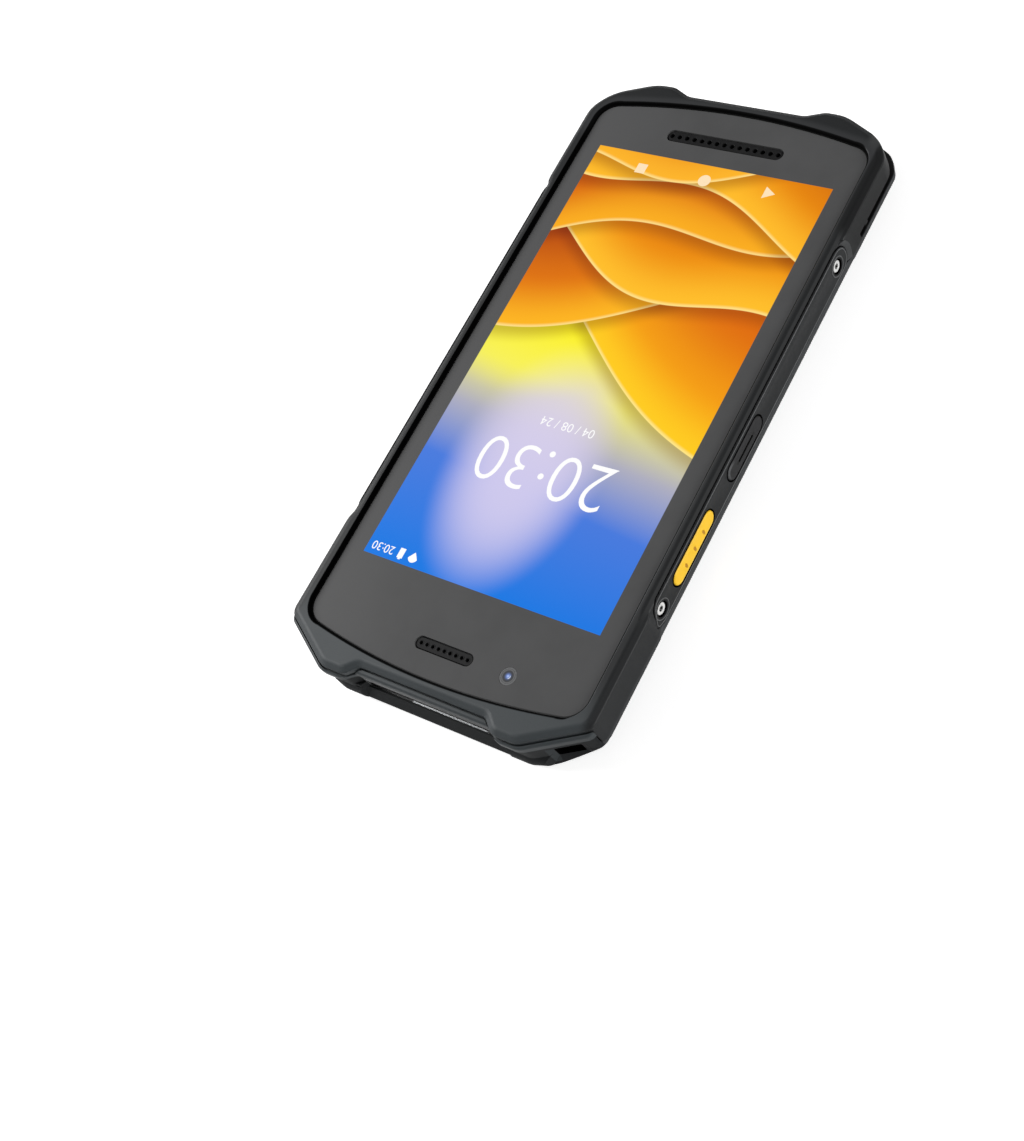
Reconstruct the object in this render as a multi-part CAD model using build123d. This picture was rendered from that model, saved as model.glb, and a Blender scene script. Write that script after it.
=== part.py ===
from build123d import *
import math
import os

# Rugged handheld barcode data terminal, lying on its back.
# Millimetres. The origin is the middle of the back face, +Z points out of the screen,
# +Y towards the scan end and +X to the user's right.
# Everything on a side wall is drawn for the right side and mirrored for the left.

# ---- overall form -----------------------------------------------------------------------
HALF_LENGTH = 79.1  # to the flats of the corner bumps
RIM_END = 78.35  # the rim's own bumps at the scan end
FOOT_END = 77.8  # and at the other end
HALF_WIDTH = 39.5  # over the corner bumpers
HALF_WAIST = 38.9  # between the corner bumpers
END_STEP = 1.9  # the middle of the lower end lies in by this much
NOTCH_STEP = 2.7  # and the rim's notch over the scan window
THICKNESS = 13.7
LIP = 0.9  # the rim stands this far above the cover glass
SPLIT = 6.4  # height of the joint between front bumper and rear housing
CAP_Y = 70.2  # where the scan end cap begins
SEAM = 0.2  # gap between the cap and what it meets
RIM_BEVEL = (0.8, 1.35)  # the rim's outer bevel: down, and in
BEVEL_SOFT = (0.5, 1.4)  # radius of its lower and of its upper edge

# ---- scan end cap ------------------------------------------------------------------------
BEAD_Z = (10.4, 12.25)
BEAD_NOTCH = 77.0  # front of the bead over the window
BEAD_ROUND = 0.7
CREASE = 0.35  # width of the groove between rim and bead
CAP_CUT = ((26.0, HALF_LENGTH), (HALF_WIDTH, 71.3))  # the cut corner, along the bead
FACE_STEP = 0.8  # the face below lies in from the bead by this much
LIP_STEP = 78.5  # front of the lip below the window
SILL_LOW = 1.6  # the sill slopes down to this height there
EYE_PLACE = 0.528  # of the way along the cut corner
EYE_Z = 5.0
EYE_DEPTH = 0.7  # from the face to the edge of the hole
EYE_HOLE = (5.8, 3.2)
EYE_MOUTH = (17.5, 14.9)  # size of the bevel 3 mm out from the hole

# ---- back: height, half width, scan end and corner setback of each level -----------------
BACK_LEVELS = [(0.0, 34.2, 77.4, 1.8), (1.9, 37.2, 78.8, 1.8), (3.8, 38.4, 78.9, 1.9), (5.2, 38.6, 78.2, 3.4)]

# ---- cover glass and screen -------------------------------------------------------------
GLASS_HALF_WIDTH = 36.0
GLASS_HALF_LENGTH = 73.0
GLASS_CORNER_Y = 69.3  # where the bowed end would meet the straight side
GLASS_CORNER_R = 5.0
GLASS_TOP = THICKNESS - LIP
GLASS_THICK = 0.9
GLASS_GAP = 0.4
ADHESIVE = 0.15
LEDGE = GLASS_TOP - GLASS_THICK - ADHESIVE
SCREEN_WIDTH = 62.3
SCREEN_LENGTH = 110.8
SCREEN_Y = -3.0
PANEL_BORDER = 2.0
PANEL_THICK = 1.6
EARPIECE = (66.3, 15.0, 2.9)  # y, slot length, slot height
SPEAKER = (-64.6, 31.0, 3.2)
FRONT_CAMERA = (-16.6, 66.4)
FRONT_CAMERA_R = 1.9

# ---- inside ------------------------------------------------------------------------------
CAVITY_INSET = 2.0  # from the glass outline to the inner wall
SHELF_Z = 8.9  # the chassis rests here
CHASSIS_THICK = 1.0
LOWER_CAVITY = 33.0  # half width below the shelf
BOARD = (27.5, 56.0, 6.7, 7.5)  # half width, half length, bottom, top
BOSSES = [(x, y) for x in (-30.6, 30.6) for y in (-60.0, 2.0, 62.0)]
BOSS_R = 2.0
THREAD_R = 0.8

# ---- side keys (y centre, length) ---------------------------------------------------------
KEY_Z = 9.4
KEY_HEIGHT = 4.0
TRIGGER = (28.1, 17.1)
FUNCTION = (4.3, 15.2)
VOLUME = (2.0, 21.0)
POWER = (-20.5, 9.5)
KEY_CLEAR = 0.15
KEY_FACE = 39.25
STRIP_FACE = 38.85
STRIP_BACK = 37.5
FLANGE = (36.9, 37.4)
ROCKER_FLANGE = (36.7, 37.15)
FLANGE_OVER = 1.0  # the flange is this much longer at each end
CHAMBER_FLOOR = 34.6
FLEX_THICK = 0.2
SWITCH_TOP = 36.0
NUB_END = 36.45
STRIP_SEAM = 0.14
STRIP_SCREWS_Y = (42.2, -41.8)
SCREW_HEAD_R = 1.45

# ---- scan window ---------------------------------------------------------------------------
WINDOW_HALF = 18.05
WINDOW_Z = (4.4, 10.4)
WINDOW_BACK = 75.2
WINDOW_FRONT = 76.6
WINDOW_FLARE = 2.6
PANE = (35.0, 2.7)
PANE_Z = 6.25
BEZEL = 0.15  # the bezel stands this far in front of the pane

# ---- battery -------------------------------------------------------------------------------
PACK_HALF_WIDTH = 27.0
PACK_Y = (-58.0, 30.0)
PACK_TOP = 5.4
PACK_CLEAR = 0.15
LATCH_Y = 22.0
LATCH_LENGTH = 8.4
LATCH_X = (21.6, 26.8)

# ---- small parts in the back and on the board ---------------------------------------------
REAR_CAMERA = (22.0, 54.0)
FLASH = (22.0, 43.5)
REAR_CONTACTS_X = (-4.5, 4.5)
REAR_CONTACTS_Y = 47.0
MOTOR = (-22.0, 59.5)
BOARD_SCREWS = [(x, y) for x in (-24.0, 24.0) for y in (-50.0, 0.0, 50.0)]
PORT_Z = 6.0

# ---- which keys sit on which side ---------------------------------------------------------
ROCKER_NUBS = (-6.0, 6.0)  # the rocker's nubs, from its middle
LEFT_KEYS = [TRIGGER, FUNCTION]
RIGHT_KEYS = [TRIGGER, VOLUME, POWER]
RIGHT_NUBS = [TRIGGER[0], *(VOLUME[0] + shift for shift in ROCKER_NUBS), POWER[0]]


def outline(corners):
    """Face inside straight runs that meet at (x, y, corner radius)."""
    points = [(x, y) for x, y, _ in corners]
    radii = [r for _, _, r in corners]
    return make_face(FilletPolyline(*points, radius=radii, close=True).edges())


def both_sides(half):
    """Corners all the way round, from the corners of the +X half, scan end first."""
    return half + [(-x, y, r) for x, y, r in reversed(half)]


def plate(face, low, high):
    """Solid between two heights over a face that lies flat."""
    return Pos(0, 0, low) * extrude(face, high - low, dir=(0, 0, 1))


def block(x, y, z, radius=0.0):
    """Upright block between pairs of x, y and z, with rounded vertical edges."""
    size = (x[1] - x[0], y[1] - y[0])
    face = RectangleRounded(*size, radius) if radius else Rectangle(*size)
    return plate(Pos((x[0] + x[1]) / 2, (y[0] + y[1]) / 2) * face, z[0], z[1])


def disc(x, y, radius, low, high):
    """Upright cylinder between two heights."""
    return plate(Pos(x, y) * Circle(radius), low, high)


def slot(x, y, size, low, high):
    """Upright solid with the outline of a long hole, its length along X."""
    return plate(Pos(x, y) * SlotOverall(*size), low, high)


def on_side(sketch, inner, outer):
    """Solid on the right wall: sketch x is the part's y, sketch y is its height."""
    wall = Plane(origin=(inner, 0, 0), x_dir=(0, 1, 0), z_dir=(1, 0, 0))
    return extrude(wall * sketch, outer - inner, dir=(1, 0, 0))


def key_slot(key, grow_length, grow_height, inner, outer):
    """Stadium at a key's place on the right wall, grown all round by half of each growth."""
    y, length = key
    sketch = Pos(y, KEY_Z) * SlotOverall(length + grow_length, KEY_HEIGHT + grow_height)
    return on_side(sketch, inner, outer)


def left(shape):
    """The same shape on the left side."""
    return mirror(shape, about=Plane.YZ)


# ---- outlines ------------------------------------------------------------------------------
def rim_face():
    """Plan of the front bumper: corner bumps, cut corners and a waist between them."""
    return outline(both_sides([
        (16.5, RIM_END - NOTCH_STEP, 1.8), (19.5, RIM_END, 3.0), (25.4, RIM_END, 5.0),
        (HALF_WIDTH, CAP_Y, 2.8), (HALF_WIDTH, 46.8, 4.0), (HALF_WAIST, 44.6, 4.0),
        (HALF_WAIST, -44.8, 4.0), (HALF_WIDTH, -47.0, 4.0),
        (HALF_WIDTH, -68.0, 6.0), (36.2, -73.2, 12.0),
        (25.2, -FOOT_END, 12.0), (20.2, -FOOT_END, 4.0), (15.6, END_STEP - FOOT_END, 5.0),
    ]))


def cap_face():
    """Plan of the bead round the scan end, which stands out past the rim."""
    return outline(both_sides([
        (17.6, BEAD_NOTCH, 1.8), (20.6, HALF_LENGTH, 3.0),
        (*CAP_CUT[0], 5.0), (*CAP_CUT[1], 2.4), (HALF_WIDTH, 0, 0),
    ]))


def band_face():
    """Plan of the rear housing's upright band: as the bumper, with fuller lower corners."""
    side = HALF_WIDTH - 0.1
    return outline(both_sides([
        (24.8, 78.0, 4.0), (side, 69.6, 2.5), (side, 46.8, 4.0), (HALF_WAIST - 0.1, 44.6, 4.0),
        (HALF_WAIST - 0.1, -44.8, 4.0), (side, -47.0, 4.0),
        (side, -69.4, 4.0), (36.8, -73.8, 6.0),
        (25.8, -HALF_LENGTH, 7.0), (20.4, -HALF_LENGTH, 4.0), (15.6, END_STEP - HALF_LENGTH, 5.0),
    ]))


def back_section(height, side, end, setback):
    """Plan of the tapering back at one height, from its half width and its scan end."""
    inset = HALF_WAIST - side
    face = outline(both_sides([
        (24.6, end, 5.0), (side - 7.4, end - setback, 7.0), (side, 69.4 + 0.8 * (side - 37.2), 3.5),
        (side, -68.8 + 0.6 * inset, 4.0), (35.8 - 0.8 * inset, -72.9 + 0.8 * inset, 4.0),
        (25.4 - 0.5 * inset, END_STEP - HALF_LENGTH + 0.9 * inset, 4.0),
    ]))
    return Pos(0, 0, height) * face


def back_shell():
    """The whole back, from the flat back face up to the joint, before it is divided."""
    band_low = BACK_LEVELS[-1][0]
    return loft([back_section(*level) for level in BACK_LEVELS]) + plate(band_face(), band_low, SPLIT)


def glass_face(grow=0.0):
    """Plan of the cover glass, with both ends bowed outward."""
    x, y = GLASS_HALF_WIDTH, GLASS_CORNER_Y
    top = ThreePointArc((x, y), (0, GLASS_HALF_LENGTH), (-x, y))
    bottom = ThreePointArc((-x, -y), (0, -GLASS_HALF_LENGTH), (x, -y))
    face = make_face([Line((x, -y), (x, y)), top, Line((-x, y), (-x, -y)), bottom])
    face = fillet(face.vertices(), GLASS_CORNER_R)
    return offset(face, grow) if grow else face


def strip_face(grow=0.0):
    """Outline of a key strip on the side wall: round at the bottom, slanted at the top."""
    face = outline([
        (-45.4, 6.6, 2.7), (43.4, 6.6, 0.5), (46.2, 7.6, 0.8), (43.0, 12.3, 2.5), (-45.4, 12.3, 2.7),
    ])
    return offset(face, grow) if grow else face


# ---- housing pieces ------------------------------------------------------------------------
def side_pocket(keys, rocker=None):
    """What is cut from the right wall for the strip, the keys and the flex behind them."""
    pocket = on_side(strip_face(STRIP_SEAM), STRIP_BACK, HALF_WIDTH + 1)
    pocket += on_side(Pos(-42.2, 9.45) * Circle(5.4), HALF_WAIST - 0.25, HALF_WIDTH + 1)
    for key in keys:
        pocket += key_slot(key, 2 * FLANGE_OVER + 0.6, 0.3, CHAMBER_FLOOR, STRIP_BACK)
    low = min(y for y, _ in keys)
    high = max(y for y, _ in keys)
    middle = Pos((low + high) / 2, KEY_Z)
    pocket += on_side(middle * Rectangle(high - low, 2.4), CHAMBER_FLOOR, CHAMBER_FLOOR + 0.4)
    for y in STRIP_SCREWS_Y:
        pocket += on_side(Pos(y, KEY_Z) * Circle(0.75), CHAMBER_FLOOR, STRIP_BACK)
    return pocket


def strap_slots():
    """Two slots for a hand strap low in the right bottom corner, with a bar between them."""
    short = block((37.0, HALF_WIDTH + 1), (-54.3, -51.6), (SPLIT - 1, SPLIT + 1.7))
    long = block((36.6, HALF_WIDTH + 1), (-73.5, -55.5), (SPLIT - 1, SPLIT + 1.7))
    bar = block((38.6, HALF_WIDTH + 1), (-55.6, -54.2), (SPLIT - 1, SPLIT + 1.2))
    return short + long + bar


def port_cut():
    """Opening of the USB socket in the bottom wall and the room behind it."""
    mouth = Plane.XZ * Pos(0, PORT_Z) * SlotOverall(9.4, 3.7)
    opening = extrude(mouth, HALF_LENGTH + 1, dir=(0, -1, 0))
    opening &= block((-6, 6), (-HALF_LENGTH - 1, -65), (0, 12))
    return opening + block((-9.2, 9.2), (-72.2, -64.0), (4.2, SHELF_Z))


def front_bumper():
    """The rim round the glass with its corner bumps, side walls and strap slots."""
    body = plate(rim_face(), SPLIT, THICKNESS)
    top = body.faces().sort_by(Axis.Z)[-1]
    down, inward = RIM_BEVEL
    body = chamfer(top.outer_wire().edges(), inward, down, reference=top)
    top = body.faces().sort_by(Axis.Z)[-1]
    body = fillet(top.outer_wire().edges(), BEVEL_SOFT[1])
    low_edges = body.edges().filter_by_position(Axis.Z, THICKNESS - down - 0.01, THICKNESS - down + 0.01)
    body = fillet(low_edges, BEVEL_SOFT[0])
    body -= plate(glass_face(GLASS_GAP), LEDGE, THICKNESS + 1)
    lip_edges = body.faces().sort_by(Axis.Z)[-1].inner_wires()[0].edges()
    body = fillet(lip_edges, 0.3)
    body -= plate(glass_face(-CAVITY_INSET), SHELF_Z, LEDGE + 0.5)
    body -= block((-LOWER_CAVITY, LOWER_CAVITY), (-66.0, CAP_Y), (SPLIT - 1, SHELF_Z), 3.0)
    body -= block((-HALF_WIDTH - 1, HALF_WIDTH + 1), (CAP_Y, HALF_LENGTH + 1), (SPLIT - 1, LEDGE))
    body -= side_pocket([TRIGGER, VOLUME, POWER])
    body -= left(side_pocket([TRIGGER, FUNCTION]))
    body -= strap_slots() + left(strap_slots())
    body -= port_cut()
    return body


def window_plane():
    """Upright plane of the scan window's front, level with the middle of its pane."""
    return Plane(origin=(0, WINDOW_FRONT, PANE_Z), x_dir=(-1, 0, 0), z_dir=(0, 1, 0))


def eye_plane():
    """Upright plane at the edge of the right eye's hole, facing outward."""
    start, end = (Vector(x, y, EYE_Z) for x, y in CAP_CUT)
    along = (end - start).normalized()
    facing = Vector(-along.Y, along.X, 0)
    centre = start + (end - start) * EYE_PLACE - facing * (FACE_STEP + EYE_DEPTH)
    return Plane(origin=centre, x_dir=along, z_dir=facing)


def lanyard_eye():
    """Bevelled pocket in the right cut corner, and the hole through it to the back."""
    corner = eye_plane()
    bevel = loft([corner.offset(3) * Rectangle(*EYE_MOUTH), corner * Rectangle(*EYE_HOLE)])
    hole = extrude(corner * RectangleRounded(*EYE_HOLE, 0.6), -4.7)
    down = corner * Pos(0, -EYE_Z / 2 - 0.5, -3.6) * Box(5.0, EYE_Z + 1, 2.2)
    return bevel + hole + down


def window_recess():
    """What is cut from the cap for the window: a box with flared ends and a sloping sill."""
    low, high = WINDOW_Z
    far = HALF_LENGTH + 1
    half = WINDOW_HALF + WINDOW_FLARE
    mouth = Polyline((WINDOW_HALF, WINDOW_FRONT), (half, far), (-half, far),
                     (-WINDOW_HALF, WINDOW_FRONT), close=True)
    mouth = make_face(mouth.edges())
    sill = Polyline((WINDOW_FRONT + 0.5, low), (LIP_STEP, SILL_LOW), (LIP_STEP, -1), (far, -1),
                    (far, low), close=True)
    sill = extrude(Plane.YZ * make_face(sill.edges()), half, both=True)
    recess = block((-WINDOW_HALF, WINDOW_HALF), (WINDOW_BACK, WINDOW_FRONT), (low, high))
    light = block((-14, 14), (CAP_Y - 1, WINDOW_BACK + 1), (low, high - 0.8))
    return recess + plate(mouth, low, high) + (sill & plate(mouth, -1, low)) + light


def scan_end_cap():
    """The scan end below the rim: bead, window recess, sill, lip and lanyard eyes."""
    bead = plate(cap_face(), *BEAD_Z)
    round_edges = [e for e in bead.faces().sort_by(Axis.Z)[-1].edges() if e.center().Y > 60]
    bead = fillet(round_edges, BEAD_ROUND)
    face = plate(offset(cap_face(), -FACE_STEP), BACK_LEVELS[-1][0], BEAD_Z[0])
    body = back_shell() + face + bead
    body &= block((-HALF_WIDTH, HALF_WIDTH), (CAP_Y + SEAM, HALF_LENGTH + 1), (0, THICKNESS))
    body -= plate(offset(rim_face(), CREASE), LEDGE, THICKNESS)
    body -= plate(offset(rim_face(), CREASE) - offset(rim_face(), -CREASE), LEDGE - 0.5, THICKNESS)
    return body - window_recess() - lanyard_eye() - left(lanyard_eye())


def latch_slot():
    """Pocket in the right wall of the battery well for a latch tongue."""
    x = (PACK_HALF_WIDTH, PACK_HALF_WIDTH + 1.9)
    return block(x, (LATCH_Y - 1.9, LATCH_Y + 1.9), (0.9, 2.7))


def rear_housing():
    """Lower shell with the battery well, room for the electronics and the back openings."""
    body = back_shell()
    body &= block((-HALF_WIDTH - 1, HALF_WIDTH + 1), (-HALF_LENGTH - 1, CAP_Y), (0, SPLIT))
    half = PACK_HALF_WIDTH + PACK_CLEAR
    ends = (PACK_Y[0] - PACK_CLEAR, PACK_Y[1] + PACK_CLEAR)
    body -= block((-half, half), ends, (-1, SPLIT + 1), 3.0)
    body -= block((-31, 31), (34.0, CAP_Y - 1.6), (1.6, SPLIT + 1), 3.0)
    body -= block((-14, 14), (CAP_Y - 3, CAP_Y + 1), (2.0, SPLIT + 1))
    body -= block((-8, 8), (30.0, 34.5), (1.8, SPLIT + 1))
    body -= latch_slot() + left(latch_slot())
    body -= port_cut()
    for x, y in BOSSES:
        body += disc(x, y, BOSS_R + 0.4, 0.6, SPLIT)
        body -= disc(x, y, 2.1, -1, 1.3) + disc(x, y, THREAD_R + 0.1, 0, SPLIT + 1)
    body -= disc(*REAR_CAMERA, 5.4, -1, 0.7) + disc(*REAR_CAMERA, 3.6, 0, 2)
    body -= disc(*FLASH, 1.9, -1, 0.7) + disc(*FLASH, 1.2, 0, 2)
    for x in REAR_CONTACTS_X:
        body -= disc(x, REAR_CONTACTS_Y, 1.9, -1, 0.5) + disc(x, REAR_CONTACTS_Y, 1.0, 0, 2)
    return body


def strip_plate(keys):
    """Right key strip: a plate with a hole for each key and two counterbored screw holes."""
    body = on_side(strip_face(), STRIP_BACK, STRIP_FACE)
    body = fillet(body.faces().sort_by(Axis.X)[-1].outer_wire().edges(), 0.3)
    for key in keys:
        body -= key_slot(key, 2 * KEY_CLEAR, 2 * KEY_CLEAR, STRIP_BACK - 1, STRIP_FACE + 1)
    for y in STRIP_SCREWS_Y:
        body -= on_side(Pos(y, KEY_Z) * Circle(1.8), STRIP_BACK + 0.4, STRIP_FACE + 1)
        body -= on_side(Pos(y, KEY_Z) * Circle(0.75), STRIP_BACK - 1, STRIP_FACE)
    return body


def key_strip_screws():
    """Four ring-faced security screws, two in each strip."""
    screws = []
    for y in STRIP_SCREWS_Y:
        centre = Pos(y, KEY_Z)
        screw = on_side(centre * Circle(SCREW_HEAD_R), STRIP_BACK + 0.4, STRIP_FACE - 0.15)
        screw = fillet(screw.faces().sort_by(Axis.X)[-1].edges(), 0.25)
        screw += on_side(centre * Circle(0.7), CHAMBER_FLOOR + 0.4, STRIP_BACK + 0.5)
        screw -= on_side(centre * Circle(0.62), STRIP_BACK + 0.7, STRIP_FACE)
        screws += [screw, left(screw)]
    return Compound(screws)


# ---- keys ----------------------------------------------------------------------------------
def key_body(key, flange=FLANGE, nubs=(0.0,)):
    """Right key: a stem with a softened face, a flange behind the strip and its nubs."""
    y, length = key
    stem = key_slot(key, 0, 0, flange[0], KEY_FACE)
    stem = fillet(stem.faces().sort_by(Axis.X)[-1].edges(), 0.45)
    stem += key_slot(key, 2 * FLANGE_OVER, 0, *flange)
    for shift in nubs:
        stem += on_side(Pos(y + shift, KEY_Z) * Circle(0.8), NUB_END, flange[0])
    return stem


def scan_trigger():
    """Right scan trigger, with three dimples that a thumb can find."""
    body = key_body(TRIGGER)
    for shift in (-3.9, 0.0, 3.9):
        body -= Pos(KEY_FACE + 0.25, TRIGGER[0] + shift, KEY_Z) * Sphere(0.5)
    return body


def function_key():
    """Left function key with a groove along its middle."""
    groove = on_side(Pos(FUNCTION[0], KEY_Z) * SlotOverall(6.6, 0.6), KEY_FACE - 0.45, KEY_FACE + 1)
    return left(key_body(FUNCTION) - groove)


def volume_rocker():
    """Right volume rocker: raised ends and a waist where it pivots."""
    body = key_body(VOLUME, ROCKER_FLANGE, ROCKER_NUBS)
    y = VOLUME[0]
    dip = Pos(KEY_FACE + 2.6, y, KEY_Z) * Cylinder(3.0, KEY_HEIGHT + 1)
    return body - dip


def power_key():
    """Right power key with a shallow dish."""
    dish = Pos(KEY_FACE + 5.75, POWER[0], KEY_Z) * Sphere(6.0)
    return key_body(POWER) - dish


def key_flex(keys):
    """Right side flex: one strip along the floor of the key chambers."""
    low = min(y for y, _ in keys) - 1.9
    high = max(y for y, _ in keys) + 1.9
    sketch = Pos((low + high) / 2, KEY_Z) * Rectangle(high - low, 2.2)
    return on_side(sketch, CHAMBER_FLOOR, CHAMBER_FLOOR + FLEX_THICK)


def key_switches(places):
    """Right tactile switches, one under each nub."""
    base = CHAMBER_FLOOR + FLEX_THICK
    return [on_side(Pos(y, KEY_Z) * Rectangle(3.4, 2.6), base, SWITCH_TOP - 0.4)
            + on_side(Pos(y, KEY_Z) * Circle(0.9), SWITCH_TOP - 0.5, SWITCH_TOP) for y in places]


# ---- glass and what is behind it -------------------------------------------------------------
def touch_glass():
    """Cover glass with slots for sound and a hole for the front camera."""
    body = plate(glass_face(), GLASS_TOP - GLASS_THICK, GLASS_TOP)
    body = chamfer(body.faces().sort_by(Axis.Z)[-1].edges(), 0.2)
    for y, length, height in (EARPIECE, SPEAKER):
        body -= slot(0, y, (length, height), 0, THICKNESS)
    return body - disc(*FRONT_CAMERA, FRONT_CAMERA_R + 0.05, 0, THICKNESS)


def glass_adhesive():
    """Thin bonding frame between the cover glass and its ledge."""
    ring = plate(glass_face(-0.3), LEDGE, LEDGE + ADHESIVE)
    return ring - plate(glass_face(-CAVITY_INSET), 0, THICKNESS)


def panel_block(low, high, border):
    """Block under the glass, larger than the lit area by a border."""
    half = SCREEN_WIDTH / 2 + border
    ends = (SCREEN_Y - SCREEN_LENGTH / 2 - border, SCREEN_Y + SCREEN_LENGTH / 2 + border)
    return block((-half, half), ends, (low, high), 1.0)


def display_panel():
    """Display module, bonded to the underside of the glass."""
    top = GLASS_TOP - GLASS_THICK
    return panel_block(top - PANEL_THICK, top, PANEL_BORDER)


def display_foam():
    """Foam pad between the display and the chassis."""
    chassis_top = SHELF_Z + CHASSIS_THICK
    return panel_block(chassis_top, GLASS_TOP - GLASS_THICK - PANEL_THICK, 0.5)


def grille(place, holes, pitch, hole_r):
    """Row of round holes in a slim bar, with a flange under the glass."""
    y, length, height = place
    under = GLASS_TOP - GLASS_THICK
    body = slot(0, y, (length - 0.6, height - 0.6), under - 0.1, GLASS_TOP - 0.25)
    body += slot(0, y, (length + 2, height + 1.4), under - 0.5, under)
    first = -pitch * (holes - 1) / 2
    for n in range(holes):
        body -= disc(first + n * pitch, y, hole_r, 0, THICKNESS)
    return body


def front_camera():
    """Front camera: module on the chassis and a ring that fills the hole in the glass."""
    x, y = FRONT_CAMERA
    body = block((x - 2.5, x + 2.5), (y - 2.5, y + 2.5), (SHELF_Z + CHASSIS_THICK, 11.3), 0.5)
    body += disc(x, y, FRONT_CAMERA_R, 11.2, GLASS_TOP - 0.05)
    return body - Pos(x, y, GLASS_TOP - 0.4) * Cone(1.05, 1.65, 0.8)


def front_camera_lens():
    """Small domed lens in the front camera's ring."""
    x, y = FRONT_CAMERA
    floor = GLASS_TOP - 0.8
    ball = Pos(x, y, floor - 1.1) * Sphere(1.5)
    return ball & disc(x, y, 0.95, floor, GLASS_TOP)


def chassis():
    """Metal midframe with screw bosses, a step round its edge and openings for sound."""
    face = glass_face(-CAVITY_INSET - 0.3) & Pos(0, -10) * Rectangle(80, 2 * CAP_Y + 19.6)
    body = plate(face, SHELF_Z, SHELF_Z + CHASSIS_THICK)
    for x, y in BOSSES:
        body += disc(x, y, BOSS_R, SPLIT, SHELF_Z + 0.1)
        body -= disc(x, y, THREAD_R, 0, SHELF_Z + 2)
    body -= slot(0, SPEAKER[0], (22, 2.6), 0, THICKNESS)
    body -= block((-6, 6), (-40, -20), (0, THICKNESS), 2.0)
    return body


def earpiece_receiver():
    """Receiver capsule on the chassis, under the earpiece grille."""
    y = EARPIECE[0]
    top = GLASS_TOP - GLASS_THICK - 0.5
    body = block((-7.5, 7.5), (y - 2.6, y + 2.6), (SHELF_Z + CHASSIS_THICK, top), 1.2)
    return body - slot(0, y, (10, 2), top - 0.4, top)


def loudspeaker():
    """Loudspeaker box hung under the chassis, below the speaker grille."""
    y = SPEAKER[0]
    body = block((11.0, 27.0), (y - 1.2, y + 8.6), (6.9, SHELF_Z), 1.5)
    duct = block((-10.5, 11.5), (y - 1.2, y + 1.2), (7.9, SHELF_Z), 0.5)
    inner = block((-9.8, 11.8), (y - 0.7, y + 0.7), (8.3, SHELF_Z), 0.3)
    return body + duct - inner


# ---- scanning ------------------------------------------------------------------------------
def scan_window():
    """Tinted pane that the scan engine looks through."""
    return extrude(window_plane() * RectangleRounded(*PANE, 0.6), -1.0)


def scan_window_frame():
    """Slim bezel round the pane, seated between the ends of the recess."""
    plane = window_plane()
    low, high = WINDOW_Z
    outer = plane * Pos(0, (low + high) / 2 - PANE_Z) * RectangleRounded(2 * WINDOW_HALF, high - low, 0.8)
    opening = plane * RectangleRounded(PANE[0] + 0.04, PANE[1] + 0.04, 0.6)
    frame = extrude(outer, BEZEL) + extrude(outer, -1.0)
    return frame - extrude(opening, 1.0) - extrude(opening, -2.0)


def scan_engine():
    """Imager module: body, objective barrel and an aiming lens beside it."""
    body = block((-10.8, 10.8), (59.5, CAP_Y - 0.4), (2.2, 8.6), 0.8)
    barrel = Pos(-3.5, CAP_Y + 0.4, PANE_Z) * Rot(90, 0, 0) * Cylinder(1.7, 2.4)
    aimer = Pos(5.5, CAP_Y + 0.1, PANE_Z) * Rot(90, 0, 0) * Cylinder(1.2, 1.6)
    return body + barrel + aimer


# ---- boards --------------------------------------------------------------------------------
def main_board():
    """Main board, hung under the chassis."""
    half_width, half_length, low, high = BOARD
    body = block((-half_width, half_width), (-half_length, half_length), (low, high), 2.0)
    for x, y in BOARD_SCREWS:
        body -= disc(x, y, 0.9, 0, THICKNESS)
    return body


def board_spacers():
    """Six spacers between the board and the chassis."""
    top = BOARD[3]
    return Compound([disc(x, y, 1.7, top, SHELF_Z) - disc(x, y, 0.9, 0, THICKNESS)
                     for x, y in BOARD_SCREWS])


def board_screws():
    """Six pan-head screws through the board into the spacers."""
    low = BOARD[2]
    return Compound([disc(x, y, 1.5, low - 0.6, low) + disc(x, y, 0.75, low - 0.3, SHELF_Z - 0.2)
                     for x, y in BOARD_SCREWS])


def board_shields():
    """Two folded shield cans on the board."""
    low = BOARD[3]
    wall = 0.2
    cans = []
    for y in ((8, 44), (-46, -4)):
        can = block((-20, 20), y, (low, SHELF_Z - 0.2), 1.0)
        can -= block((-20 + wall, 20 - wall), (y[0] + wall, y[1] - wall), (0, SHELF_Z - 0.2 - wall), 0.8)
        cans.append(can)
    return Compound(cans)


def card_holder():
    """SIM and memory card holder under the board, reached through the battery well."""
    low = BOARD[2]
    body = block((-14, 14), (2, 18), (low - 1.2, low), 0.5)
    return body - block((-12.5, 12.5), (1, 16.5), (low - 0.9, low - 0.25))


def battery_connector():
    """Spring contacts on a block at the end of the battery well."""
    body = block((-7, 7), (30.4, 34.0), (2.0, BOARD[2]))
    for n in range(4):
        x = -4.5 + 3.0 * n
        body -= block((x - 0.5, x + 0.5), (30.0, 32.0), (2.6, 5.2))
    return body


def io_board():
    """Small board that carries the USB socket."""
    return block((-9, 9), (-72.0, -66.1), (7.7, 8.5), 0.8)


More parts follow.
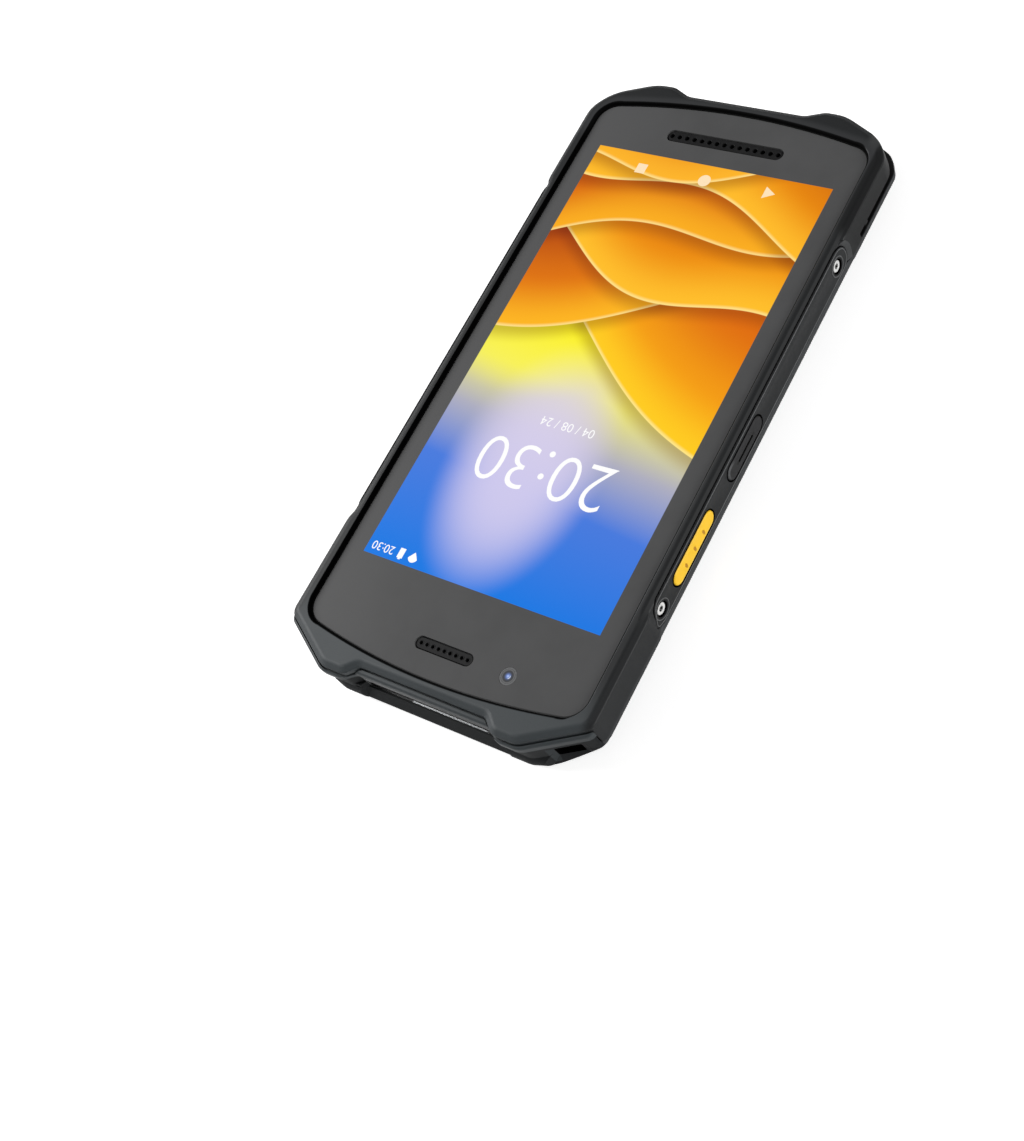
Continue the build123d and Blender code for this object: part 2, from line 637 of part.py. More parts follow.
def usb_connector():
    """USB type C receptacle: rounded shell with its tongue."""
    mouth = Plane.XZ.offset(66.5) * Pos(0, PORT_Z)
    shell = extrude(mouth * SlotOverall(8.94, 3.26), 9.7)
    hollow = extrude(mouth * SlotOverall(8.34, 2.66), 9.8) - block((-5, 5), (-68.5, -60), (0, 12))
    tongue = block((-3.3, 3.3), (-75.6, -68.0), (5.65, 6.35))
    foot = block((-3.5, 3.5), (-71.5, -67.0), (7.4, 7.7))
    return shell - hollow + tongue + foot


def vibration_motor():
    """Coin motor in the upper room of the housing."""
    return disc(*MOTOR, 4.0, 1.6, 4.4)


def rear_camera():
    """Rear camera module behind its window."""
    x, y = REAR_CAMERA
    body = block((x - 4.4, x + 4.4), (y - 4.4, y + 4.4), (1.6, 5.6), 0.8)
    return body + disc(x, y, 3.4, 0.9, 1.7)


def rear_camera_window():
    """Round window over the rear camera."""
    return disc(*REAR_CAMERA, 5.3, 0.15, 0.7)


def flash_window():
    """Small lens over the flash."""
    return disc(*FLASH, 1.85, 0.15, 0.7)


def rear_contacts():
    """Two round accessory contacts set in the back."""
    return Compound([disc(x, REAR_CONTACTS_Y, 1.85, 0.15, 0.5)
                     + disc(x, REAR_CONTACTS_Y, 0.9, 0.4, 2.0) for x in REAR_CONTACTS_X])


def housing_screws():
    """Six screws from the back into the chassis bosses."""
    screws = []
    for x, y in BOSSES:
        screw = disc(x, y, 1.9, 0.4, 1.3) + disc(x, y, THREAD_R - 0.05, 1.2, SHELF_Z + 0.6)
        screws.append(screw - disc(x, y, 0.8, 0, 0.9))
    return Compound(screws)


# ---- battery -------------------------------------------------------------------------------
def latch_pocket():
    """Right pocket in the battery pack: an opening for the grip over wider rails."""
    x = (LATCH_X[0] - 1.8, PACK_HALF_WIDTH + 1)
    half = LATCH_LENGTH / 2
    grip = block(x, (LATCH_Y - half + 0.6, LATCH_Y + half - 0.6), (-1, 1.5))
    rails = block(x, (LATCH_Y - half - 0.2, LATCH_Y + half + 0.2), (1.45, 2.7))
    return grip + rails


def battery_pack():
    """Battery pack that is flush with the back, with finger grooves and two latch pockets."""
    body = block((-PACK_HALF_WIDTH, PACK_HALF_WIDTH), PACK_Y, (0, PACK_TOP), 3.0)
    body = fillet(body.faces().sort_by(Axis.Z)[0].edges(), 0.5)
    for n in range(5):
        body -= slot(0, -48.0 + 2.4 * n, (30.0, 1.2), -1, 0.35)
    return body - latch_pocket() - left(latch_pocket())


def battery_latch():
    """Right latch: ribbed grip, rails that keep it in the pack, and its tongue."""
    half = LATCH_LENGTH / 2
    body = block(LATCH_X, (LATCH_Y - half + 0.8, LATCH_Y + half - 0.8), (0.25, 1.8))
    body += block(LATCH_X, (LATCH_Y - half, LATCH_Y + half), (1.65, 2.5))
    body += block((LATCH_X[1] - 0.1, PACK_HALF_WIDTH + 1.5), (LATCH_Y - 1.6, LATCH_Y + 1.6), (1.2, 2.4))
    for n in range(3):
        x = LATCH_X[0] + 1.3 + 1.3 * n
        body -= block((x - 0.3, x + 0.3), (LATCH_Y - half, LATCH_Y + half), (0, 0.6))
    return body


PARTS = {
    "front_bumper": front_bumper,
    "scan_end_cap": scan_end_cap,
    "rear_housing": rear_housing,
    "left_key_strip": lambda: left(strip_plate(LEFT_KEYS)),
    "right_key_strip": lambda: strip_plate(RIGHT_KEYS),
    "key_strip_screws": key_strip_screws,
    "left_scan_trigger": lambda: left(scan_trigger()),
    "right_scan_trigger": scan_trigger,
    "function_key": function_key,
    "volume_rocker": volume_rocker,
    "power_key": power_key,
    "left_key_flex": lambda: left(key_flex(LEFT_KEYS)),
    "right_key_flex": lambda: key_flex(RIGHT_KEYS),
    "left_key_switches": lambda: Compound([left(s) for s in key_switches([y for y, _ in LEFT_KEYS])]),
    "right_key_switches": lambda: Compound(key_switches(RIGHT_NUBS)),
    "touch_glass": touch_glass,
    "glass_adhesive": glass_adhesive,
    "display_panel": display_panel,
    "display_foam": display_foam,
    "earpiece_grille": lambda: grille(EARPIECE, 9, 1.52, 0.42),
    "speaker_grille": lambda: grille(SPEAKER, 15, 2.03, 0.62),
    "front_camera": front_camera,
    "front_camera_lens": front_camera_lens,
    "chassis": chassis,
    "earpiece_receiver": earpiece_receiver,
    "loudspeaker": loudspeaker,
    "scan_window": scan_window,
    "scan_window_frame": scan_window_frame,
    "scan_engine": scan_engine,
    "main_board": main_board,
    "board_spacers": board_spacers,
    "board_screws": board_screws,
    "board_shields": board_shields,
    "card_holder": card_holder,
    "battery_connector": battery_connector,
    "io_board": io_board,
    "usb_connector": usb_connector,
    "vibration_motor": vibration_motor,
    "rear_camera": rear_camera,
    "rear_camera_window": rear_camera_window,
    "flash_window": flash_window,
    "rear_contacts": rear_contacts,
    "housing_screws": housing_screws,
    "battery_pack": battery_pack,
    "right_battery_latch": battery_latch,
    "left_battery_latch": lambda: left(battery_latch()),
}


os.makedirs("parts", exist_ok=True)
for name, make in PARTS.items():
    export_step(make(), f"parts/{name}.step")
    print("wrote", name)
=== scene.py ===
"""Rugged handheld barcode data terminal: pieces, finishes and studio, built around its frame."""

import logging
import math
from dataclasses import dataclass, field
from enum import Enum
from functools import cache
from typing import Any, Iterable, Sequence

import bmesh
import bpy
from mathutils import Matrix, Vector


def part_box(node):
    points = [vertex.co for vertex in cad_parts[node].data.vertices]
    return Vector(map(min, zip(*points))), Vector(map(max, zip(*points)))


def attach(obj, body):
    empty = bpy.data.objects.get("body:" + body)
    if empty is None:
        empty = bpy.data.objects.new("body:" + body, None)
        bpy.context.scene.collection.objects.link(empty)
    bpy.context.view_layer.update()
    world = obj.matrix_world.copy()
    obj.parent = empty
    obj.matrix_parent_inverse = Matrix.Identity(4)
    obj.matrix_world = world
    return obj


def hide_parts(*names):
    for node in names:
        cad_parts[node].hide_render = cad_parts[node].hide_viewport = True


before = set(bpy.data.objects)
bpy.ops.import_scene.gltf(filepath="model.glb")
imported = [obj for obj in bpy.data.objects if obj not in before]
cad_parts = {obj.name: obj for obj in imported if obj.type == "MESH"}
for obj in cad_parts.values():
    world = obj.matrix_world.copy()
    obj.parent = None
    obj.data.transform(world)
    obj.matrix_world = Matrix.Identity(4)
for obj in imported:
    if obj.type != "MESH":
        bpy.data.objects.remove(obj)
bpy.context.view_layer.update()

LOG = logging.getLogger("terminal")
MM = 0.001
BODY = "terminal"

Colour = tuple[float, float, float]
Point = tuple[float, float]
Place = tuple[float, float, float]
Loop = Sequence[Point]
Stops = Sequence[tuple[float, Colour]]

# driving places, in millimetres
HALF_WIDTH, HALF_LENGTH = 39.5, 79.0
GLASS_TOP = round(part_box("touch_glass")[1][2] / MM, 3)
KEY_LINE = 9.4
STRIP_SCREWS_Y = (42.2, -41.8)
FRONT_CAMERA = (-16.6, 66.4)

# tones that several finishes share
# painted shade: the black painted into a key's groove, the screw sockets and the strap slots
PAINTED_SHADE_BLACK = (0.001, 0.001, 0.001)
BUMPER_BLACK = (0.0145, 0.0155, 0.0165)
# painted sheen: the paler tone painted on the bumper's scan end and on the lanyard eyes' inner
# bevels
PAINTED_SHEEN_GREY = (0.046, 0.053, 0.057)


# ---- shader expressions ---------------------------------------------------------------------
class Signal:
    """A shader value that can be used in a Python expression; each operator adds a node."""

    def __init__(self, paint: "Paint", socket: bpy.types.NodeSocket) -> None:
        """Wraps one output socket of a material's tree."""
        self.paint = paint
        self.socket = socket

    def math(self, operation: str, *others: Any, flip: bool = False) -> "Signal":
        """Adds a Math node.

        Args:
            operation: the node's operation.
            others: further operands, signals or numbers.
            flip: put this signal second.

        Returns:
            The node's result.
        """
        operands = [self, *others]
        if flip:
            operands.reverse()
        node = self.paint.node("ShaderNodeMath", {"operation": operation},
                               dict(enumerate(operands)))
        return Signal(self.paint, node.outputs[0])

    def __add__(self, other: Any) -> "Signal":
        """self + other."""
        return self.math("ADD", other)

    __radd__ = __add__

    def __sub__(self, other: Any) -> "Signal":
        """self - other."""
        return self.math("SUBTRACT", other)

    def __rsub__(self, other: Any) -> "Signal":
        """other - self."""
        return self.math("SUBTRACT", other, flip=True)

    def __mul__(self, other: Any) -> "Signal":
        """self * other."""
        return self.math("MULTIPLY", other)

    __rmul__ = __mul__

    def __truediv__(self, other: Any) -> "Signal":
        """self / other."""
        return self.math("DIVIDE", other)

    def __rtruediv__(self, other: Any) -> "Signal":
        """other / self."""
        return self.math("DIVIDE", other, flip=True)

    def __pow__(self, other: Any) -> "Signal":
        """self ** other."""
        return self.math("POWER", other)

    def __abs__(self) -> "Signal":
        """abs(self)."""
        return self.math("ABSOLUTE")

    def least(self, other: Any) -> "Signal":
        """The smaller of the two."""
        return self.math("MINIMUM", other)

    def most(self, other: Any) -> "Signal":
        """The larger of the two."""
        return self.math("MAXIMUM", other)

    def step(self, low: float, high: float) -> "Signal":
        """Rises smoothly from 0 at low to 1 at high; with low above high it falls.

        Args:
            low: value at which the result is 0.
            high: value at which the result is 1.

        Returns:
            A signal from 0 to 1.
        """
        ends = (low, high, 0.0, 1.0) if low < high else (high, low, 1.0, 0.0)
        node = self.paint.node("ShaderNodeMapRange", {"interpolation_type": "SMOOTHSTEP"},
                               dict(enumerate((self, *ends))))
        return Signal(self.paint, node.outputs[0])


class NodeBuilder:
    """Adds nodes to a tree, one call each."""

    def __init__(self, tree: bpy.types.NodeTree) -> None:
        """Works on one tree."""
        self.tree = tree

    def node(self, kind: str, settings: dict[str, Any] | None = None,
             sockets: dict[Any, Any] | None = None) -> bpy.types.Node:
        """Adds any node.

        Args:
            kind: the node's type.
            settings: attributes to set first; "stops" fills a colour ramp.
            sockets: input name or index to a number, colour, vector, signal or socket.

        Returns:
            The new node.
        """
        made = self.tree.nodes.new(kind)
        for key, value in (settings or {}).items():
            if key == "stops":
                self._fill_ramp(made.color_ramp, value)
            else:
                setattr(made, key, value)
        for key, value in (sockets or {}).items():
            self.feed(made.inputs[key], value)
        return made

    def feed(self, target: bpy.types.NodeSocket, value: Any) -> None:
        """Sets or links one input socket.

        Args:
            target: the socket.
            value: a number, colour, vector, signal or output socket.
        """
        if isinstance(value, Signal):
            self.tree.links.new(value.socket, target)
        elif isinstance(value, bpy.types.NodeSocket):
            self.tree.links.new(value, target)
        elif isinstance(value, (tuple, list)) and len(value) == 3 and target.type == "RGBA":
            target.default_value = (*value, 1.0)
        else:
            target.default_value = value

    @staticmethod
    def _fill_ramp(ramp: bpy.types.ColorRamp, stops: Stops) -> None:
        """Fills a colour ramp.

        Args:
            ramp: the ramp.
            stops: (position, colour) of each of its stops.
        """
        while len(ramp.elements) < len(stops):
            ramp.elements.new(1.0)
        for element, (position, colour) in zip(ramp.elements, stops):
            element.position = position
            element.color = (*colour, 1.0)


class Paint(NodeBuilder):
    """Builds one procedural material from expressions and nodes."""

    def __init__(self, name: str) -> None:
        """Starts an empty material with an output node.

        Args:
            name: the material's name.
        """
        self.material = bpy.data.materials.new(name)
        self.material.use_nodes = True
        super().__init__(self.material.node_tree)
        self.tree.nodes.clear()
        self.output = self.tree.nodes.new("ShaderNodeOutputMaterial")
        self._place: bpy.types.Node | None = None

    def place(self) -> Signal:
        """Object coordinates in metres."""
        if self._place is None:
            self._place = self.node("ShaderNodeTexCoord")
        return Signal(self, self._place.outputs["Object"])

    def axes(self) -> tuple[Signal, Signal, Signal]:
        """Splits the object coordinates.

        Returns:
            x, y and z in millimetres.
        """
        scaled = self.node("ShaderNodeVectorMath", {"operation": "SCALE"},
                           {0: self.place(), "Scale": 1.0 / MM})
        split = self.node("ShaderNodeSeparateXYZ", None, {0: Signal(self, scaled.outputs[0])})
        return tuple(Signal(self, out) for out in split.outputs)

    def noise(self, size: float, detail: float, roughness: float,
              stretch: Place = (1.0, 1.0, 1.0)) -> Signal:
        """Noise with features of a size in millimetres.

        Args:
            size: feature size in millimetres.
            detail: octaves.
            roughness: weight of the finer octaves.
            stretch: how much denser the pattern is along x, y and z.

        Returns:
            The noise value, about 0 to 1.
        """
        mapped = self.node("ShaderNodeMapping", None, {"Vector": self.place(), "Scale": stretch})
        made = self.node("ShaderNodeTexNoise", None,
                         {"Vector": Signal(self, mapped.outputs[0]), "Scale": 1.0 / (size * MM),
                          "Detail": detail, "Roughness": roughness})
        return Signal(self, made.outputs["Fac"])

    def cells(self, size: float) -> Signal:
        """Distance pattern of packed cells of a size in millimetres."""
        made = self.node("ShaderNodeTexVoronoi", {"feature": "F1"},
                         {"Vector": self.place(), "Scale": 1.0 / (size * MM)})
        return Signal(self, made.outputs["Distance"])

    def mix(self, factor: Any, first: Any, second: Any) -> Signal:
        """Colour between two colours."""
        made = self.node("ShaderNodeMix", {"data_type": "RGBA"}, {0: factor, 6: first, 7: second})
        return Signal(self, made.outputs[2])

    def ramp(self, value: Signal, stops: Stops) -> Signal:
        """Colour read from stops."""
        made = self.node("ShaderNodeValToRGB", {"stops": stops}, {0: value})
        return Signal(self, made.outputs[0])

    def bump(self, height: Signal, depth: float, strength: float) -> Signal:
        """Normal bent by a height pattern of a depth in millimetres."""
        made = self.node("ShaderNodeBump", None,
                         {"Height": height, "Distance": depth * MM, "Strength": strength})
        return Signal(self, made.outputs[0])

    def surface(self, **sockets: Any) -> bpy.types.Material:
        """Closes the material with one Principled shader.

        Args:
            sockets: Principled inputs, with underscores for the spaces in their names.

        Returns:
            The finished material.
        """
        named = {key.replace("_", " "): value for key, value in sockets.items()}
        shader = self.node("ShaderNodeBsdfPrincipled", None, named)
        self.tree.links.new(shader.outputs[0], self.output.inputs["Surface"])
        return self.material


# ---- outline of the cover glass ---------------------------------------------------------------
@dataclass(frozen=True)
class GlassOutline:
    """Plan of the cover glass: straight sides, ends bowed outward, and round corners."""

    side: float = round(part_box("touch_glass")[1][0] / MM, 3)
    end: float = round(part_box("touch_glass")[1][1] / MM, 3)
    bow: float = 3.7
    corner: float = 5.0

    @property
    def bow_radius(self) -> float:
        """Radius of the bowed ends."""
        return (self.bow ** 2 + self.side ** 2) / (2 * self.bow)

    @property
    def bow_centre(self) -> float:
        """How far the centre of a bow lies past the middle."""
        return self.bow_radius - self.end

    @property
    def corner_place(self) -> Point:
        """Centre of the corner at +x, +y."""
        x = self.side - self.corner
        return x, math.sqrt((self.bow_radius - self.corner) ** 2 - x ** 2) - self.bow_centre

    def beyond(self, x: Signal, y: Signal) -> Signal:
        """Measures how far a place lies outside the edge.

        Args:
            x: the place's x in millimetres.
            y: the place's y in millimetres.

        Returns:
            The distance in millimetres, below 0 inside.
        """
        corner_x, _ = self.corner_place
        bow = self.bow_radius - self.corner
        across = abs(x) - corner_x
        reach = (x ** 2.0 + (abs(y) + self.bow_centre) ** 2.0) ** 0.5 - bow
        along = reach - across.most(0.0) * (corner_x / bow)
        outer = (across.most(0.0) ** 2.0 + along.most(0.0) ** 2.0) ** 0.5
        return outer + across.most(along).least(0.0) - self.corner

    def loop(self, grow: float, steps: int = 14) -> Loop:
        """Runs round the outline, anticlockwise from the right side.

        Args:
            grow: how far outside the edge, in millimetres.
            steps: segments in each arc of a quarter.

        Returns:
            The closed outline's points.
        """
        corner_x, corner_y = self.corner_place
        split = math.atan2(corner_y + self.bow_centre, corner_x)
        quarter = arc(corner_x, corner_y, self.corner + grow, 0.0, split, steps)
        quarter += arc(0.0, -self.bow_centre, self.bow_radius + grow, split, 0.5 * math.pi - split,
                       steps)[1:]
        half = quarter + [(-x, y) for x, y in reversed(quarter[:-1])]
        return half + [(-x, -y) for x, y in half]


# ---- finishes -----------------------------------------------------------------------------
def toned(colour: Colour, gain: float, lift: float = 0.0) -> Colour:
    """A colour times a gain, plus a lift, at most 1."""
    return tuple(min(1.0, gain * c + lift) for c in colour)


@dataclass(frozen=True)
class Patch:
    """A soft-edged place on a moulding that is painted a tone of its own, as a painted highlight or
    painted shade.

    Each range is (where the patch starts, where it is full) in millimetres, along x, y, z or
    out from the glass. A mirrored patch also stands on the other side of the middle.
    """

    colour: Colour
    amount: float = 1.0
    x: tuple[Point, ...] = ()
    y: tuple[Point, ...] = ()
    z: tuple[Point, ...] = ()
    out: tuple[Point, ...] = ()
    mirrored: bool = False
    matte: float = 0.0

    def mask(self, x: Signal, y: Signal, z: Signal, out: Signal | None = None) -> Signal:
        """Finds the patch.

        Args:
            x: a place's x in millimetres.
            y: its y.
            z: its z.
            out: its distance from the glass, where the patch has such a range.

        Returns:
            The patch's amount inside all of its ranges, and 0 outside.
        """
        if self.mirrored:
            x, y = abs(x), abs(y)
        ranges = ((x, self.x), (y, self.y), (z, self.z), (out, self.out))
        steps = [value.step(*ends) for value, pairs in ranges for ends in pairs]
        return math.prod(steps, start=self.amount)


@dataclass(frozen=True)
class MouldedPlastic:
    """Moulded plastic with a fine eroded grain, faint flow marks and rubbed high spots."""

    name: str
    colour: Colour
    roughness: float = 0.5
    grain: float = 0.35
    relief: float = 0.012
    rubbed: float = 0.25
    gloss: float = 0.4
    patches: tuple[Patch, ...] = ()

    def build(self) -> bpy.types.Material:
        """Builds the material.

        Returns:
            The material.
        """
        paint = Paint(self.name)
        x, y, z = paint.axes()
        fine = paint.noise(self.grain, 3.0, 0.65)
        broad = paint.noise(22.0, 2.0, 0.5)
        smudge = paint.noise(6.0, 4.0, 0.6)
        corner = (abs(x) / HALF_WIDTH) ** 6.0 * (abs(y) / HALF_LENGTH) ** 4.0
        wear_and_glints = (corner * (smudge * 1.6)).step(0.25, 0.95) * self.rubbed
        light = toned(self.colour, 1.45, 0.012)
        base = paint.mix(broad.step(0.3, 0.7), toned(self.colour, 0.82), self.colour)
        base = paint.mix(fine.step(0.45, 0.8) * 0.25, base, light)
        base = paint.mix(wear_and_glints, base, light)
        # patches: painted highlights and painted shade over the base colour
        for patch in self.patches:
            base = paint.mix(patch.mask(x, y, z), base, patch.colour)
        rough = self.roughness + (broad - 0.5) * 0.1 + (smudge - 0.5) * 0.08 - wear_and_glints * 0.15
        return paint.surface(Base_Color=base, Roughness=rough, Specular_IOR_Level=self.gloss,
                             Normal=paint.bump(fine, self.relief, 0.6))


@dataclass(frozen=True)
class BumperPlastic:
    """Tough plastic of the bumper: a painted sheen at the scan end, and painted black shade round
    the glass and in its slots.

    Its patches are, in order: the painted shade under the scan end's lip, a painted highlight on
    the slope inside the left side, a painted highlight along the ridge of that side, a painted
    highlight on the crown of the bottom end, and the painted shade beside the left strap slot.
    """

    name: str
    colour: Colour
    sheen: Colour
    roughness: float = 0.48
    glass: GlassOutline = GlassOutline()
    # painted sheen: where the scan end is painted paler, along y and across x
    sheen_y: Point = (59.0, 73.5)
    sheen_x: Point = (39.0, 36.6)
    wall_out: Point = (0.85, 0.55)
    left_wall_x: Point = (-33.0, -35.0)
    left_wall_in: float = 0.35
    slot_x: Point = (36.0, 39.3)
    slot_y: Point = (-74.0, -51.2)
    slot_top: float = 8.15
    # painted shade: black for the wall round the glass and inside the slots, a little less black at
    # the bottom end
    shade_black: Colour = (0.0026, 0.0026, 0.0028)
    end_shade_black: Colour = (0.0085, 0.0085, 0.0088)
    end_y: Point = (-58.0, -64.0)
    patches: tuple[Patch, ...] = (
        # painted shade under the scan end's lip, rougher too
        Patch((0.006, 0.007, 0.008), 0.93, y=((70.0, 70.4),), z=((10.6, 9.6),), matte=0.215),
        # painted highlight on the slope inside the left side
        Patch((0.048, 0.049, 0.050), 0.9, x=((-37.5, -35.9), (-33.0, -35.0)), y=((56.0, 44.0),)),
        # painted highlight along the ridge of the left side
        Patch((0.033, 0.034, 0.035), x=((-38.8, -38.65), (-37.85, -38.1)), y=((50.0, 42.0),),
              z=((12.2, 12.4),)),
        # painted highlight on the crown of the bottom end, near the glass
        Patch((0.030, 0.031, 0.033), 0.9, y=((-58.0, -64.0),), out=((2.8, 1.2),)),
        # painted shade beside the left strap slot
        Patch(toned(BUMPER_BLACK, 0.52), x=((-36.5, -37.3),), y=((-45.0, -50.0),)))

    def _shade_mask(self, x: Signal, y: Signal, z: Signal) -> Signal:
        """Finds the places painted black as shade: the wall round the glass and the inside of the
        strap slots.

        Args:
            x: a place's x in millimetres.
            y: its y.
            z: its z.

        Returns:
            1 inside, 0 outside.
        """
        wall = self.glass.beyond(x, y) + x.step(*self.left_wall_x) * self.left_wall_in
        inner, outer = self.slot_x
        low, high = self.slot_y
        slot = (abs(x).step(inner - 0.1, inner) * abs(x).step(outer, outer - 0.15)
                * y.step(low - 0.1, low) * y.step(high + 0.1, high)
                * z.step(self.slot_top + 0.05, self.slot_top - 0.05))
        return wall.step(*self.wall_out).most(slot)

    def _bright(self, x: Signal, y: Signal, z: Signal) -> Signal | None:
        """1 on facets that take a painted highlight, or None where there are none."""
        return None

    def build(self) -> bpy.types.Material:
        """Builds the material.

        Returns:
            The material.
        """
        paint = Paint(self.name)
        x, y, z = paint.axes()
        fine = paint.noise(0.32, 3.0, 0.65)
        broad = paint.noise(24.0, 2.0, 0.5)
        smudge = paint.noise(5.0, 4.0, 0.6)
        corner = (abs(x) / HALF_WIDTH) ** 8.0 * (abs(y) / HALF_LENGTH) ** 3.0
        rubbed = (corner * (smudge * 1.7)).step(0.3, 1.0)
        # painted sheen: the scan end is painted paler, standing in for its reflection
        fade = y.step(*self.sheen_y) * abs(x).step(*self.sheen_x)
        pale = toned(self.colour, 1.5, 0.006)
        base = paint.mix(fade * (0.85 + broad * 0.3), self.colour, self.sheen)
        base = paint.mix(fine.step(0.45, 0.8) * 0.22, base, pale)
        base = paint.mix(rubbed * 0.18, base, pale)
        rough = self.roughness + (broad - 0.5) * 0.08 + (smudge - 0.5) * 0.07
        # painted shade and painted highlights, one patch after another
        for patch in self.patches:
            mask = patch.mask(x, y, z, self.glass.beyond(x, y) if patch.out else None)
            base = paint.mix(mask, base, patch.colour)
            if patch.matte:
                rough = rough + mask * patch.matte
        # painted highlight: these facets are painted in the paler sheen tone
        bright = self._bright(x, y, z)
        if bright:
            base = paint.mix(bright * 0.6, base, self.sheen)
        # painted shade: black, and fully metallic so that it takes no gloss
        deep = self._shade_mask(x, y, z)
        black = paint.mix(y.step(*self.end_y), self.shade_black, self.end_shade_black)
        base = paint.mix(deep, base, black)
        return paint.surface(Base_Color=base, Roughness=rough + deep * 0.4, Metallic=deep,
                             Specular_IOR_Level=0.23, Normal=paint.bump(fine, 0.010, 0.5))


@dataclass(frozen=True)
class CapPlastic(BumperPlastic):
    """The bumper's plastic on the scan end cap, with painted black shade inside its lanyard eyes.
    """

    # painted sheen across the whole width of the cap
    sheen_x: Point = (41.0, 40.0)
    eye: Place = (32.378, 73.683, 5.0)
    eye_along: Point = (0.8659, -0.5003)
    eye_half: Point = (2.9, 1.6)
    mouth_half: Point = (4.2, 2.9)
    bevel_out: Point = (0.74, 0.66)

    def _from_eye(self, x: Signal, y: Signal) -> tuple[Signal, Signal]:
        """Measures from the nearer lanyard eye.

        Args:
            x: a place's x in millimetres.
            y: its y.

        Returns:
            How far the place lies along the cut corner from the eye, and out from its hole.
        """
        beside, before = abs(x) - self.eye[0], y - self.eye[1]
        along = beside * self.eye_along[0] + before * self.eye_along[1]
        return along, beside * -self.eye_along[1] + before * self.eye_along[0]

    def _shade_mask(self, x: Signal, y: Signal, z: Signal) -> Signal:
        """Finds the inside of the lanyard eyes, which is painted black as shade.

        Args:
            x: a place's x in millimetres.
            y: its y.
            z: its z.

        Returns:
            1 inside, 0 outside.
        """
        along, out = self._from_eye(x, y)
        half, rise = self.eye_half
        return (abs(along).step(half + 0.06, half) * abs(z - self.eye[2]).step(rise + 0.06, rise)
                * out.step(0.02, -0.03))

    def _bright(self, x: Signal, y: Signal, z: Signal) -> Signal:
        """Finds the bevel of each eye nearer to the middle, which takes a painted highlight.

        Args:
            x: a place's x in millimetres.
            y: its y.
            z: its z.

        Returns:
            1 on it, 0 elsewhere.
        """
        along, out = self._from_eye(x, y)
        hole = -self.eye_half[0]
        mouth, rise = self.mouth_half
        return (along.step(hole + 0.1, hole) * along.step(-mouth - 0.3, -mouth)
                * abs(z - self.eye[2]).step(rise + 0.1, rise)
                * out.step(-0.02, 0.04) * out.step(*self.bevel_out))


@dataclass(frozen=True)
class TriggerPlastic:
    """Signal yellow plastic with a fine grain, a painted highlight along its lower edge, and
    painted shade in the lower part of its three dimples.
    """

    name: str
    colour: Colour
    # painted shade in the lower part of the dimples
    dimple_shade: Colour
    # painted highlight: the paler yellow along the lower edge
    pale: Colour = (1.0, 0.86, 0.30)
    highlight_z: Point = (8.15, 7.75)
    # the painted shade sits 0.35 below the key line, in the dimples' lower part
    middle: Point = (28.1, 9.05)
    pitch: float = 3.9
    radius: float = 0.62
    oval: Point = (1.9, 0.4)

    def build(self) -> bpy.types.Material:
        """Builds the material.

        Returns:
            The material.
        """
        paint = Paint(self.name)
        _, y, z = paint.axes()
        fine = paint.noise(0.25, 3.0, 0.6)
        broad = paint.noise(7.0, 2.0, 0.5)
        up = (z - self.middle[1]) ** 2.0 * self.oval[1]
        dots: Any = None
        for step in (-1, 0, 1):
            along = (y - (self.middle[0] + step * self.pitch)) ** 2.0 * self.oval[0]
            dot = ((along + up) ** 0.5).step(self.radius, 0.5 * self.radius)
            dots = dots.most(dot) if dots else dot
        base = paint.mix(broad.step(0.35, 0.7) * 0.5, self.colour, toned(self.colour, 0.9))
        # painted highlight along the lower edge
        base = paint.mix((z + fine * 0.3).step(*self.highlight_z) * 0.5, base, self.pale)
        # painted shade in the lower part of each dimple
        base = paint.mix(dots * 0.85, base, self.dimple_shade)
        rough = 0.42 + (fine - 0.5) * 0.12 + (broad - 0.5) * 0.06
        return paint.surface(Base_Color=base, Roughness=rough, Specular_IOR_Level=0.4,
                             Normal=paint.bump(fine, 0.005, 0.4))


@dataclass(frozen=True)
class BarrelPlastic:
    """Black lens barrel with a pale ring round its mouth."""

    name: str
    colour: Colour
    ring: Colour
    centre: Point
    edges: Point
    softness: float = 0.12

    def build(self) -> bpy.types.Material:
        """Builds the material.

        Returns:
            The material.
        """
        paint = Paint(self.name)
        x, y, _ = paint.axes()
        radius = ((x - self.centre[0]) ** 2.0 + (y - self.centre[1]) ** 2.0) ** 0.5
        inner, outer = self.edges
        soft = self.softness
        ring = radius.step(inner - soft, inner + soft) * radius.step(outer + soft, outer - soft)
        fine = paint.noise(0.2, 2.0, 0.5)
        base = paint.mix(ring * (0.8 + fine * 0.3), self.colour, self.ring)
        return paint.surface(Base_Color=base, Roughness=0.45 + (fine - 0.5) * 0.1,
                             Normal=paint.bump(fine, 0.004, 0.4))


